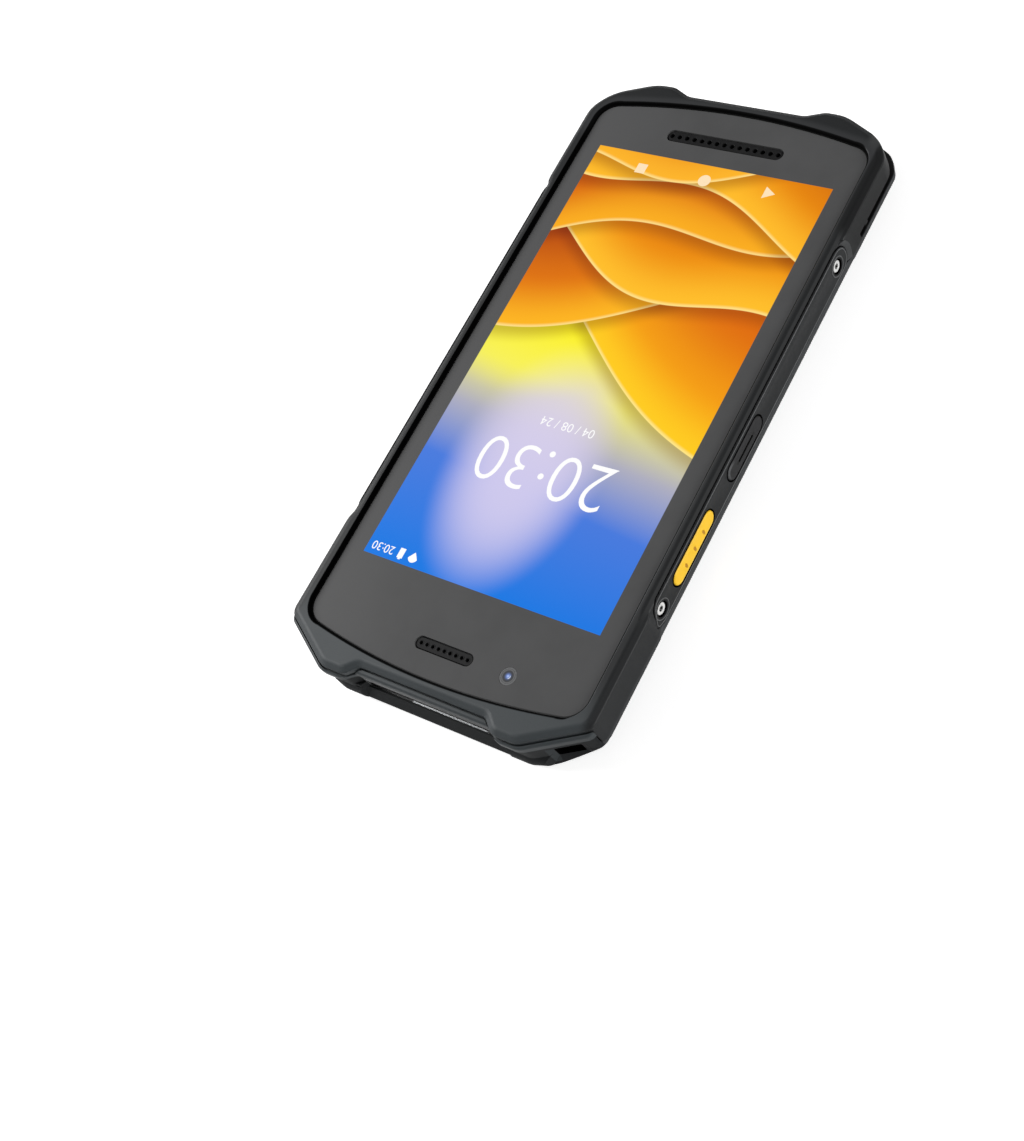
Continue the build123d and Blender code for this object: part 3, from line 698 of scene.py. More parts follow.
@dataclass(frozen=True)
class BezelMetal:
    """Black coated metal of the scan bezel, with bare metal patches along its edges that are
    painted highlights, set where glints fall.

    Each patch is its (left, right), its (low, high) and how bare it is.
    """

    name: str
    metal: Colour
    coat: Colour
    wear_and_glints: tuple[tuple[Point, Point, float], ...]

    def build(self) -> bpy.types.Material:
        """Builds the material.

        Returns:
            The material.
        """
        paint = Paint(self.name)
        x, _, z = paint.axes()
        # bare metal patches placed as painted highlights
        bare: Any = 0.0
        for (left, right), (low, high), amount in self.wear_and_glints:
            along = x.step(left - 1.0, left) * x.step(right + 0.6, right)
            bare = along * z.step(low - 0.1, low) * z.step(high + 0.1, high) * amount + bare
        lines = paint.noise(0.5, 3.0, 0.6, (1.0, 10.0, 10.0))
        base = paint.mix(bare, self.coat, self.metal)
        return paint.surface(Base_Color=base, Metallic=bare * 0.9,
                             Roughness=0.34 + (lines - 0.5) * 0.16,
                             Normal=paint.bump(lines, 0.004, 0.4))


@dataclass(frozen=True)
class SoftRubber:
    """Matte silicone with a powdery bloom."""

    name: str
    colour: Colour
    roughness: float = 0.68

    def build(self) -> bpy.types.Material:
        """Builds the material.

        Returns:
            The material.
        """
        paint = Paint(self.name)
        fine = paint.noise(0.22, 3.0, 0.6)
        bloom = paint.noise(5.0, 3.0, 0.55)
        base = paint.mix(bloom.step(0.35, 0.8) * 0.4, self.colour, toned(self.colour, 1.5, 0.01))
        rough = self.roughness + (bloom - 0.5) * 0.12
        return paint.surface(Base_Color=base, Roughness=rough, Specular_IOR_Level=0.35,
                             Normal=paint.bump(fine, 0.008, 0.5))


@dataclass(frozen=True)
class GroovedRubber:
    """Matte key rubber: a painted highlight on its upper edge, and painted black shade in the
    groove along the middle.
    """

    name: str
    colour: Colour
    # colour of the painted highlight on the upper edge
    pale: Colour
    middle: Point = (4.3, KEY_LINE)
    reach: float = 5.6
    groove: Point = (4.0, 0.38)
    edge_radius: Point = (1.25, 1.6)
    edge_up: Point = (-1.2, 0.6)
    edge_y: Point = (3.6, 6.0)

    def build(self) -> bpy.types.Material:
        """Builds the material.

        Returns:
            The material.
        """
        paint = Paint(self.name)
        _, y, z = paint.axes()
        fine = paint.noise(0.22, 3.0, 0.6)
        along = y - self.middle[0]
        up = z - self.middle[1]
        radius = ((abs(along) - self.reach).most(0.0) ** 2.0 + up * up) ** 0.5
        # painted highlight on the upper edge, towards +y
        edge = radius.step(*self.edge_radius) * up.step(*self.edge_up) * along.step(*self.edge_y)
        length, width = self.groove
        groove = (abs(along).step(length + 0.1, length - 0.1)
                  * abs(up).step(width + 0.08, width - 0.08))
        base = paint.mix(edge * (0.7 + fine * 0.3), self.colour, self.pale)
        # painted shade: black in the groove
        base = paint.mix(groove, base, PAINTED_SHADE_BLACK)
        return paint.surface(Base_Color=base, Roughness=0.62 + (fine - 0.5) * 0.1,
                             Specular_IOR_Level=0.35, Normal=paint.bump(fine, 0.006, 0.5))


@dataclass(frozen=True)
class RingScrew:
    """Bright turned face of a side screw, with painted black shade in its socket."""

    name: str
    colour: Colour
    centres: Point = STRIP_SCREWS_Y
    level: float = KEY_LINE
    socket: float = 0.62
    turning: float = 18.0

    def build(self) -> bpy.types.Material:
        """Builds the material.

        Returns:
            The material.
        """
        paint = Paint(self.name)
        _, y, z = paint.axes()
        away = abs(y - self.centres[0]).least(abs(y - self.centres[1]))
        radius = (away * away + (z - self.level) ** 2.0) ** 0.5
        # painted shade: the socket is painted black and not metallic
        hole = radius.step(self.socket + 0.04, self.socket - 0.04)
        turned = (radius * self.turning).math("SINE")
        haze = paint.noise(1.2, 3.0, 0.6)
        base = paint.mix(haze.step(0.4, 0.8) * 0.3, self.colour, toned(self.colour, 0.8))
        base = paint.mix(hole, base, PAINTED_SHADE_BLACK)
        return paint.surface(Base_Color=base, Metallic=(1.0 - hole) * 0.45,
                             Roughness=0.34 + turned * 0.04 + hole * 0.4,
                             Normal=paint.bump(turned, 0.004, 0.3))


@dataclass(frozen=True)
class MachinedMetal:
    """Bare or plated metal with fine drawn lines and a little tarnish."""

    name: str
    colour: Colour
    roughness: float = 0.3
    metallic: float = 1.0
    drawn: Place = (1.0, 12.0, 1.0)

    def build(self) -> bpy.types.Material:
        """Builds the material.

        Returns:
            The material.
        """
        paint = Paint(self.name)
        lines = paint.noise(0.5, 3.0, 0.6, self.drawn)
        tarnish = paint.noise(4.0, 3.0, 0.6)
        base = paint.mix(tarnish.step(0.4, 0.75) * 0.5, self.colour, toned(self.colour, 0.72))
        rough = self.roughness + (lines - 0.5) * 0.16 + (tarnish - 0.5) * 0.1
        return paint.surface(Base_Color=base, Metallic=self.metallic, Roughness=rough,
                             Normal=paint.bump(lines, 0.004, 0.4))


@dataclass(frozen=True)
class CoatedMetal:
    """Black coated metal with an orange-peel skin."""

    name: str
    colour: Colour
    roughness: float = 0.42
    gloss: float = 0.5

    def build(self) -> bpy.types.Material:
        """Builds the material.

        Returns:
            The material.
        """
        paint = Paint(self.name)
        peel = paint.cells(0.3)
        patch = paint.noise(3.0, 3.0, 0.6)
        base = paint.mix(patch.step(0.45, 0.8) * 0.35, self.colour, toned(self.colour, 1.6, 0.01))
        return paint.surface(Base_Color=base, Metallic=0.3, Specular_IOR_Level=self.gloss,
                             Roughness=self.roughness + (patch - 0.5) * 0.15,
                             Normal=paint.bump(peel, 0.006, 0.5))


@dataclass(frozen=True)
class OpticGlass:
    """Coated optical glass: rings of colour round its centre, under a clear coat.

    The crescent is a bright reflex in the ring between glint_in and glint_out, on the side that
    lies across from it.
    """

    name: str
    centre: Point
    stops: Stops
    reach: float
    crescent: Point | None = None
    glint: Colour = (0.85, 0.90, 1.0)
    glint_in: Point = (0.24, 0.30)
    glint_out: Point = (0.40, 0.34)
    glint_away: Point = (0.55, 0.25)

    def build(self) -> bpy.types.Material:
        """Builds the material.

        Returns:
            The material.
        """
        paint = Paint(self.name)
        x, y, _ = paint.axes()
        x, y = x - self.centre[0], y - self.centre[1]
        radius = (x * x + y * y) ** 0.5 / self.reach
        film = paint.noise(2.5, 2.0, 0.5)
        base = paint.ramp(radius + (film - 0.5) * 0.08, self.stops)
        if self.crescent:
            right, up = self.crescent
            away = ((x + right) ** 2.0 + (y + up) ** 2.0) ** 0.5
            ring = radius.step(*self.glint_in) * radius.step(*self.glint_out)
            base = paint.mix(ring * away.step(*self.glint_away) * 0.9, base, self.glint)
        return paint.surface(Base_Color=base, Roughness=0.06 + (film - 0.5) * 0.04,
                             Specular_IOR_Level=0.6, Coat_Weight=0.6, Coat_Roughness=0.03)


@dataclass(frozen=True)
class Laminate:
    """Solder-masked laminate with copper tracks showing through and rows of pads."""

    name: str
    mask: Colour
    copper: Colour
    track_pitch: float = 1.1
    cross_pitch: float = 1.7
    pad_pitch: float = 1.6

    def build(self) -> bpy.types.Material:
        """Builds the material.

        Returns:
            The material.
        """
        paint = Paint(self.name)
        x, y, _ = paint.axes()
        wander = paint.noise(7.0, 1.0, 0.4)
        track = abs(((x + wander * 9.0) / self.track_pitch).math("FRACT") - 0.5).step(0.2, 0.3)
        cross = abs(((y + wander * 6.0) / self.cross_pitch).math("FRACT") - 0.5).step(0.22, 0.32)
        zone = paint.noise(11.0, 1.0, 0.4).step(0.48, 0.52)
        pattern = track * zone + cross * (1.0 - zone)
        pad = paint.cells(self.pad_pitch).step(0.2, 0.16)
        base = paint.mix(pattern * 0.55, self.mask, toned(self.mask, 1.7))
        base = paint.mix(pad * 0.8, base, self.copper)
        return paint.surface(Base_Color=base, Roughness=0.38 - pad * 0.1,
                             Normal=paint.bump(pattern + pad, 0.02, 0.6))


@dataclass(frozen=True)
class Foam:
    """Closed-cell foam or pressed felt."""

    name: str
    colour: Colour

    def build(self) -> bpy.types.Material:
        """Builds the material.

        Returns:
            The material.
        """
        paint = Paint(self.name)
        cell = paint.cells(0.35)
        base = paint.mix(cell.step(0.1, 0.6), self.colour, toned(self.colour, 2.2))
        return paint.surface(Base_Color=base, Roughness=0.85 + (cell - 0.5) * 0.1,
                             Specular_IOR_Level=0.2, Normal=paint.bump(cell, 0.04, 0.7))


@dataclass(frozen=True)
class CopperFilm:
    """Amber film with copper lines under it."""

    name: str
    film: Colour
    line: Colour
    pitch: float = 0.5

    def build(self) -> bpy.types.Material:
        """Builds the material.

        Returns:
            The material.
        """
        paint = Paint(self.name)
        _, _, z = paint.axes()
        wave = paint.noise(4.0, 2.0, 0.5)
        track = abs((z / self.pitch).math("FRACT") - 0.5).step(0.22, 0.3)
        base = paint.mix(track * 0.7, self.film, self.line)
        return paint.surface(Base_Color=base, Roughness=0.3 + (wave - 0.5) * 0.1,
                             Coat_Weight=0.4, Coat_Roughness=0.15)


@dataclass(frozen=True)
class Glow:
    """Flat light from a screen: white or tinted marks."""

    name: str
    colour: Colour
    strength: float = 1.0

    def build(self) -> bpy.types.Material:
        """Builds the material.

        Returns:
            The material.
        """
        paint = Paint(self.name)
        pixel = paint.noise(0.3, 1.0, 0.5)
        lit = paint.mix(pixel.step(0.3, 0.7), self.colour, toned(self.colour, 0.97))
        return paint.surface(Base_Color=(0.0, 0.0, 0.0), Roughness=0.3 + (pixel - 0.5) * 0.05,
                             Specular_IOR_Level=0.2, Emission_Color=lit,
                             Emission_Strength=self.strength)


@dataclass(frozen=True)
class Dune:
    """One soft wave of the screen's picture, in screen millimetres."""

    level: float
    tilt: float
    swing: float
    length: float
    phase: float
    rim: Colour
    inner: Colour
    deep: Colour
    fade: float = 15.0

    def inside(self, x: Signal, y: Signal) -> Signal:
        """Distance below the crest of the wave."""
        sway = (x / self.length + self.phase).math("SINE") * self.swing
        return sway + x * self.tilt + self.level - y


@dataclass(frozen=True)
class Gleam:
    """A soft oval of light in the picture.

    Its middle and reach are given across in millimetres, and up as parts of the height.
    """

    middle: Point
    reach: Point
    spread: float
    amount: float
    colour: Colour

    def mask(self, x: Signal, up: Signal) -> Signal:
        """Finds the gleam.

        Args:
            x: a place's x in millimetres.
            up: its height in the picture, from 0 to 1.

        Returns:
            The gleam's amount in its middle, falling to 0.
        """
        across = (x - self.middle[0]) / self.reach[0]
        along = (up - self.middle[1]) / self.reach[1]
        return (across ** 2.0 + along ** 2.0).step(self.spread, 0.0) * self.amount


@dataclass(frozen=True)
class ScreenGlass:
    """Cover glass: a dark printed border, and the lit picture inside it."""

    name: str
    ink: Colour
    half_width: float
    low: float
    high: float
    dunes: tuple[Dune, ...]
    crest: Colour = (1.0, 0.93, 0.42)
    shade: Colour = (0.16, 0.012, 0.0)
    off: Colour = (0.004, 0.004, 0.004)
    # painted light: the border is painted paler from here towards +x
    painted_light_x: Point = (8.0, 36.0)
    sway: float = 0.03
    sky: Stops = (
        (0.0, (0.95, 0.34, 0.01)), (0.30, (0.97, 0.62, 0.01)), (0.45, (0.93, 0.78, 0.005)),
        (0.56, (0.86, 0.80, 0.16)), (0.67, (0.42, 0.42, 0.52)), (0.79, (0.06, 0.19, 0.72)),
        (1.0, (0.0, 0.18, 0.76)))
    gleams: tuple[Gleam, ...] = (
        Gleam((5.0, 0.74), (13.5, 0.19), 2.4, 0.86, (0.70, 0.64, 0.86)),
        Gleam((20.0, 0.47), (20.0, 0.10), 2.0, 0.55, (1.0, 0.95, 0.03)))

    def _picture(self, paint: Paint, x: Signal, y: Signal) -> Signal:
        """Paints the picture: a sky with its gleams, and the waves that overlap on it.

        Args:
            paint: the material's paint.
            x: a place's x in millimetres.
            y: its y.

        Returns:
            The picture's colour there.
        """
        up = (y - self.low) / (self.high - self.low)
        colour = paint.ramp(up + (x / self.half_width) * self.sway, self.sky)
        for gleam in self.gleams:
            colour = paint.mix(gleam.mask(x, up), colour, gleam.colour)
        for dune in self.dunes:
            inside = dune.inside(x, y)
            colour = paint.mix(inside.step(-5.0, 0.0) * 0.42, colour, self.shade)
            tone = paint.mix(inside.step(0.0, dune.fade), dune.rim, dune.inner)
            tone = paint.mix(inside.step(dune.fade * 0.6, dune.fade * 2.2), tone, dune.deep)
            tone = paint.mix(inside.step(1.1, 0.1) * 0.55, tone, self.crest)
            colour = paint.mix(inside.step(-0.1, 0.1), colour, tone)
        return colour

    def build(self) -> bpy.types.Material:
        """Builds the material.

        Returns:
            The material.
        """
        paint = Paint(self.name)
        x, y, z = paint.axes()
        middle = 0.5 * (self.low + self.high)
        reach = 0.5 * (self.high - self.low)
        inside = (abs(x).step(self.half_width + 0.05, self.half_width - 0.05)
                  * abs(y - middle).step(reach + 0.05, reach - 0.05)
                  * z.step(GLASS_TOP - 0.1, GLASS_TOP - 0.05))
        smear = paint.noise(14.0, 3.0, 0.6)
        dust = paint.noise(0.5, 2.0, 0.5)
        ink = paint.mix(smear.step(0.3, 0.8), self.ink, toned(self.ink, 0.88))
        # painted light: the border ink is paler towards +x
        ink = paint.mix(x.step(*self.painted_light_x) * 0.9, ink, toned(self.ink, 1.14))
        base = paint.mix(inside, ink, self.off)
        lit = paint.mix(inside, (0.0, 0.0, 0.0), self._picture(paint, x, y))
        return paint.surface(Base_Color=base, Emission_Color=lit, Emission_Strength=1.0,
                             Roughness=0.36 + (smear - 0.5) * 0.08 + (dust - 0.5) * 0.04,
                             Specular_IOR_Level=0.06)


class Finish(Enum):
    """Every finish of the terminal, one to each slot of the record or special piece."""

    BUMPER = BumperPlastic("bumper_plastic", BUMPER_BLACK, PAINTED_SHEEN_GREY)
    CAP = CapPlastic("cap_plastic", BUMPER_BLACK, PAINTED_SHEEN_GREY)
    HOUSING = MouldedPlastic(
        "housing_plastic", (0.026, 0.028, 0.030), 0.55,
        # painted highlight: a paler band along the top of the side walls
        patches=(Patch((0.0468, 0.0504, 0.0540), 0.8, x=((38.6, 38.9),), y=((46.5, 44.5),),
                       z=((4.4, 5.2),), mirrored=True),
                 # painted shade: black on the housing's top face, seen through the strap slots
                 Patch(PAINTED_SHADE_BLACK, x=((39.2, 39.1),), z=((6.33, 6.37),), mirrored=True)))
    STRIP = MouldedPlastic("strip_plastic", (0.016, 0.017, 0.018), 0.5, 0.25, 0.006, 0.0, 0.24)
    SEAM = MouldedPlastic("seam_shadow", (0.0008, 0.0008, 0.0008), 0.9, 0.3, 0.004, 0.0, 0.0)
    # painted highlight: pale beads along the strips' edges and round their screws
    RIM = MouldedPlastic("rubbed_rim", (0.150, 0.153, 0.156), 0.45, 0.25, 0.004, 0.0, 0.4)
    # painted highlight: paler than the bumper, so that the pocket's slope looks lit
    RAMP = MouldedPlastic("ramp_plastic", (0.060, 0.062, 0.064), 0.5, 0.3, 0.008, 0.0, 0.3)
    GRILLE = CoatedMetal("grille_metal", (0.007, 0.007, 0.0075), 0.6, 0.22)
    TRIGGER = TriggerPlastic("trigger_plastic", (1.0, 0.60, 0.020), (0.42, 0.18, 0.003))
    KEY = SoftRubber("key_rubber", (0.016, 0.016, 0.018))
    GROOVED_KEY = GroovedRubber("grooved_rubber", (0.014, 0.014, 0.015), (0.085, 0.087, 0.090))
    RING_SCREW = RingScrew("ring_screw", (0.92, 0.92, 0.91))
    BRIGHT = MachinedMetal("bright_steel", (0.66, 0.66, 0.66), 0.25)
    SATIN = MachinedMetal("satin_steel", (0.52, 0.52, 0.53), 0.38)
    CAST = MachinedMetal("cast_alloy", (0.36, 0.36, 0.37), 0.55, 0.85, (1.0, 1.0, 1.0))
    GOLD = MachinedMetal("gold_plate", (0.85, 0.60, 0.22), 0.25)
    BLACK_METAL = CoatedMetal("black_metal", (0.012, 0.012, 0.013))
    BLACK_SCREW = CoatedMetal("black_screw", (0.030, 0.030, 0.032), 0.34)
    # near-black seal rubber, partly painted shade for the gap round the glass
    SEAL = MouldedPlastic("seal_rubber", (0.0020, 0.0020, 0.0022), 0.8, 0.3, 0.004, 0.0, 0.06)
    BLACK_PLASTIC = MouldedPlastic("black_plastic", (0.012, 0.012, 0.013), 0.45, 0.25, 0.006, 0.0)
    FOAM = Foam("black_foam", (0.008, 0.008, 0.008))
    FILM = CopperFilm("copper_film", (0.35, 0.15, 0.02), (0.55, 0.26, 0.08))
    BOARD = Laminate("green_laminate", (0.01, 0.10, 0.045), (0.75, 0.55, 0.2))
    # the bright blue-white centre of these stops is a painted highlight
    LENS = OpticGlass(
        "camera_lens", FRONT_CAMERA,
        ((0.0, (0.55, 0.66, 0.95)), (0.22, (0.20, 0.32, 0.80)), (0.6, (0.05, 0.09, 0.30)),
         (1.0, (0.015, 0.02, 0.04))), 0.95)
    REAR_LENS = OpticGlass(
        "rear_lens", (22.0, 54.0),
        ((0.0, (0.03, 0.05, 0.12)), (0.3, (0.01, 0.015, 0.03)), (0.34, (0.05, 0.05, 0.055)),
         (0.4, (0.006, 0.006, 0.008)), (1.0, (0.004, 0.004, 0.005))), 5.3)
    WINDOW = OpticGlass(
        "scan_glass", (0.0, 76.0),
        ((0.0, (0.012, 0.008, 0.010)), (0.6, (0.006, 0.004, 0.006)), (1.0, (0.003, 0.003, 0.004))),
        18.0)
    # the bright blue-white centre is a painted highlight, and the crescent a painted reflection
    COVER = OpticGlass(
        "camera_cover", FRONT_CAMERA,
        ((0.0, (0.62, 0.74, 1.0)), (0.14, (0.30, 0.42, 0.85)), (0.26, (0.14, 0.22, 0.52)),
         (0.42, (0.085, 0.11, 0.20)), (0.56, (0.052, 0.056, 0.068)),
         (0.74, (0.060, 0.061, 0.064)), (0.84, (0.150, 0.152, 0.155)),
         (0.93, (0.130, 0.132, 0.135)), (1.0, (0.085, 0.086, 0.088))),
        1.6, (0.42, -0.16))
    BARREL = BarrelPlastic("camera_barrel", (0.050, 0.052, 0.058), (0.095, 0.097, 0.100),
                           FRONT_CAMERA, (1.5, 1.95))
    # painted highlights: bare patches on the lower bar, the upper bar and the +x end
    BEZEL = BezelMetal("bezel_metal", (0.40, 0.41, 0.42), (0.008, 0.009, 0.010),
                       (((-13.0, 6.0), (4.0, 4.95), 1.0), ((-0.5, 15.6), (8.45, 9.0), 0.45),
                        ((16.3, 17.3), (5.6, 9.2), 0.9)))
    FLASH = MouldedPlastic("flash_lens", (0.80, 0.78, 0.62), 0.25, 0.4, 0.02, 0.0)
    WHITE_LIGHT = Glow("white_light", (1.0, 1.0, 1.0))
    CREAM_LIGHT = Glow("cream_light", (1.0, 0.78, 0.50))
    PANEL = Glow("panel_light", (0.55, 0.62, 0.75), 0.4)
    GLASS = ScreenGlass(
        "cover_glass", (0.087, 0.087, 0.088), 31.15, -58.4, 52.4,
        (Dune(-7.0, -0.52, 4.0, 15.0, 2.6, (1.0, 0.60, 0.01), (0.92, 0.35, 0.002),
              (0.74, 0.15, 0.0)),
         Dune(-20.0, 0.30, 5.0, 17.0, 0.4, (0.98, 0.46, 0.01), (0.76, 0.18, 0.0),
              (0.42, 0.045, 0.0)),
         Dune(-27.0, -0.26, 6.0, 13.0, 1.2, (1.0, 0.52, 0.02), (0.86, 0.27, 0.0),
              (0.56, 0.09, 0.0)),
         Dune(-38.0, 0.22, 5.0, 14.0, 3.6, (0.96, 0.42, 0.01), (0.70, 0.14, 0.0),
              (0.36, 0.035, 0.0)),
         Dune(-48.0, -0.20, 4.5, 12.0, 5.0, (1.0, 0.50, 0.02), (0.82, 0.25, 0.0),
              (0.52, 0.08, 0.0)),
         Dune(-57.0, 0.10, 4.0, 11.0, 1.0, (0.98, 0.46, 0.02), (0.76, 0.20, 0.0),
              (0.42, 0.055, 0.0))))

    @cache
    def material(self) -> bpy.types.Material:
        """The finish's material, built once."""
        return self.value.build()


def dress(node: str, finish: Finish) -> None:
    """Gives a carried-over solid its finish.

    Args:
        node: the solid's name in the frame.
        finish: its finish.
    """
    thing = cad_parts[node]
    if not thing.material_slots:
        thing.data.materials.append(None)
    for place in thing.material_slots:
        place.link = "OBJECT"
        place.material = finish.material()
    LOG.info("dressed %s in %s", node, finish.value.name)


# ---- meshes ---------------------------------------------------------------------------------
def stand(name: str, data: Any) -> bpy.types.Object:
    """Makes an object and puts it in the scene.

    Args:
        name: its name.
        data: its mesh, curve, lamp or camera.

    Returns:
        The object.
    """
    thing = bpy.data.objects.new(name, data)
    bpy.context.scene.collection.objects.link(thing)
    return thing


def moved(mesh: bpy.types.Mesh, place: Place) -> bpy.types.Mesh:
    """Moves a mesh by a distance in millimetres."""
    mesh.transform(Matrix.Translation(Vector(place) * MM))
    return mesh


def new_piece(name: str, mesh: bpy.types.Mesh, finish: Finish,
              body: str = BODY) -> bpy.types.Object:
    """Makes a finished piece that rides on a body.

    Args:
        name: the piece's name.
        mesh: its mesh, already in place.
        finish: its finish.
        body: the body that it rides on.

    Returns:
        The new object.
    """
    mesh.name = name
    mesh.materials.clear()
    mesh.materials.append(finish.material())
    mesh.shade_smooth()
    mesh.set_sharp_from_angle(angle=math.radians(34))
    thing = stand(name, mesh)
    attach(thing, body)
    LOG.info("made %s, %d faces", name, len(mesh.polygons))
    return thing


def evaluated_mesh(thing: bpy.types.Object) -> bpy.types.Mesh:
    """Applies an object's modifiers.

    Args:
        thing: the object; it is removed.

    Returns:
        The result as a plain mesh.
    """
    graph = bpy.context.evaluated_depsgraph_get()
    mesh = bpy.data.meshes.new_from_object(thing.evaluated_get(graph), depsgraph=graph)
    data = thing.data
    bpy.data.objects.remove(thing)
    if isinstance(data, bpy.types.Curve):
        bpy.data.curves.remove(data)
    return mesh


def plain_mesh(build: bmesh.types.BMesh, name: str) -> bpy.types.Mesh:
    """Turns finished geometry into a mesh.

    Args:
        build: the geometry; it is freed.
        name: the mesh's name.

    Returns:
        The mesh.
    """
    mesh = bpy.data.meshes.new(name)
    build.to_mesh(mesh)
    build.free()
    return mesh


def flat_shapes(outlines: Iterable[Loop], low: float, high: float) -> bpy.types.Mesh:
    """Upright solids over outlines in millimetres, all in one mesh.

    Args:
        outlines: closed outlines, anticlockwise, as (x, y) points.
        low: height of the bottom in millimetres.
        high: height of the top in millimetres.

    Returns:
        The mesh, in metres.
    """
    build = bmesh.new()
    for outline in outlines:
        floor = [build.verts.new((x * MM, y * MM, low * MM)) for x, y in outline]
        roof = [build.verts.new((x * MM, y * MM, high * MM)) for x, y in outline]
        build.faces.new(list(reversed(floor)))
        build.faces.new(roof)
        for n, corner in enumerate(floor):
            after = (n + 1) % len(floor)
            build.faces.new((corner, floor[after], roof[after], roof[n]))
    return plain_mesh(build, "flat_shapes")


def arc(x: float, y: float, radius: float, start: float, sweep: float, steps: int) -> list[Point]:
    """Follows an arc.

    Args:
        x: x of its centre.
        y: y of its centre.
        radius: its radius.
        start: angle at which it starts, in radians.
        sweep: angle that it covers, anticlockwise.
        steps: segments in it.

    Returns:
        Its points, both ends among them.
    """
    turns = [start + sweep * n / steps for n in range(steps + 1)]
    return [(x + radius * math.cos(turn), y + radius * math.sin(turn)) for turn in turns]


def circle_points(x: float, y: float, radius: float, count: int = 40) -> list[Point]:
    """Points round a circle, anticlockwise."""
    return arc(x, y, radius, 0.0, 2 * math.pi, count)[:-1]


def stadium(x: float, y: float, length: float, height: float, steps: int = 12) -> Loop:
    """Goes round a long hole that lies along x, anticlockwise.

    Args:
        x: x of its middle.
        y: y of its middle.
        length: length over all.
        height: height over all, twice the radius of its ends.
        steps: segments in each end.

    Returns:
        The closed outline's points.
    """
    radius = 0.5 * height
    reach = 0.5 * length - radius
    return [point for side in (1, -1)
            for point in arc(x + side * reach, y, radius, -0.5 * math.pi * side, math.pi, steps)]


def rounded(corners: Sequence[Place], steps: int = 7) -> Loop:
    """Goes round a polygon with arcs at its corners.

    Args:
        corners: (x, y, radius) of each corner, anticlockwise.
        steps: segments in each arc.

    Returns:
        The closed outline's points.
    """
    points: list[Point] = []
    for n, (x, y, radius) in enumerate(corners):
        corner = Vector((x, y))
        before = (Vector(corners[n - 1][:2]) - corner).normalized()
        after = (Vector(corners[(n + 1) % len(corners)][:2]) - corner).normalized()
        half = 0.5 * before.angle(after)
        centre = corner + (before + after).normalized() * (radius / math.sin(half))
        first = corner + before * (radius / math.tan(half)) - centre
        start = math.atan2(first.y, first.x)
        points += arc(centre.x, centre.y, radius, start, math.pi - 2.0 * half, steps)
    return points


def loops_mesh(loops: Iterable[Loop], height: float = 0.0) -> bpy.types.Mesh:
    """Makes closed loops of edges.

    Args:
        loops: the loops' points in millimetres, as (x, y) or (x, y, height).
        height: height of the points that give none.

    Returns:
        One mesh of them all, without faces.
    """
    places: list[Place] = []
    edges: list[tuple[int, int]] = []
    for loop in loops:
        first = len(places)
        places += [(x * MM, y * MM, (own[0] if own else height) * MM) for x, y, *own in loop]
        edges += [(first + n, first + (n + 1) % len(loop)) for n in range(len(loop))]
    mesh = bpy.data.meshes.new("loops")
    mesh.from_pydata(places, edges, [])
    return mesh


def lathe(rings: Sequence[Sequence[float]], count: int, closed: bool = False,
          lobes: int = 6) -> bpy.types.Mesh:
    """Turned solid about z, whose rings may be lobed like a star socket.

    Args:
        rings: (radius, height) of each ring in turn, in millimetres, and the lobes' depth as a
            part of the radius where it has lobes.
        count: points in each ring.
        closed: join the last ring to the first, for a washer, instead of capping both.
        lobes: number of lobes.

    Returns:
        The mesh, in metres.
    """
    build = bmesh.new()
    turn = 2 * math.pi / count
    rows = []
    for radius, height, *lobe in rings:
        depth = lobe[0] if lobe else 0.0
        reach = [radius * (1 + depth * math.cos(lobes * n * turn)) * MM for n in range(count)]
        rows.append([build.verts.new((r * math.cos(n * turn), r * math.sin(n * turn), height * MM))
                     for n, r in enumerate(reach)])
    pairs = list(zip(rows, rows[1:]))
    if closed:
        pairs.append((rows[-1], rows[0]))
    for low, high in pairs:
        for n in range(count):
            after = (n + 1) % count
            build.faces.new((low[n], low[after], high[after], high[n]))
    if not closed:
        build.faces.new(list(reversed(rows[0])))
        build.faces.new(rows[-1])
    bmesh.ops.recalc_face_normals(build, faces=build.faces)
    return plain_mesh(build, "turned")


def clipped(mesh: bpy.types.Mesh, planes: Iterable[tuple[Place, Place]]) -> bpy.types.Mesh:
    """Cuts away what lies beyond each plane, and closes the cuts.

    Args:
        mesh: a closed mesh; it is changed.
        planes: a point on each plane, in millimetres, and the direction of what is cut away.

    Returns:
        The same mesh.
    """
    build = bmesh.new()
    build.from_mesh(mesh)
    for point, away in planes:
        parts = [*build.verts, *build.edges, *build.faces]
        cut = bmesh.ops.bisect_plane(build, geom=parts, plane_co=Vector(point) * MM, plane_no=away,
                                     clear_outer=True)
        edges = [part for part in cut["geom_cut"] if isinstance(part, bmesh.types.BMEdge)]
        bmesh.ops.edgeloop_fill(build, edges=edges)
    bmesh.ops.recalc_face_normals(build, faces=build.faces)
    build.to_mesh(mesh)
    build.free()
    return mesh


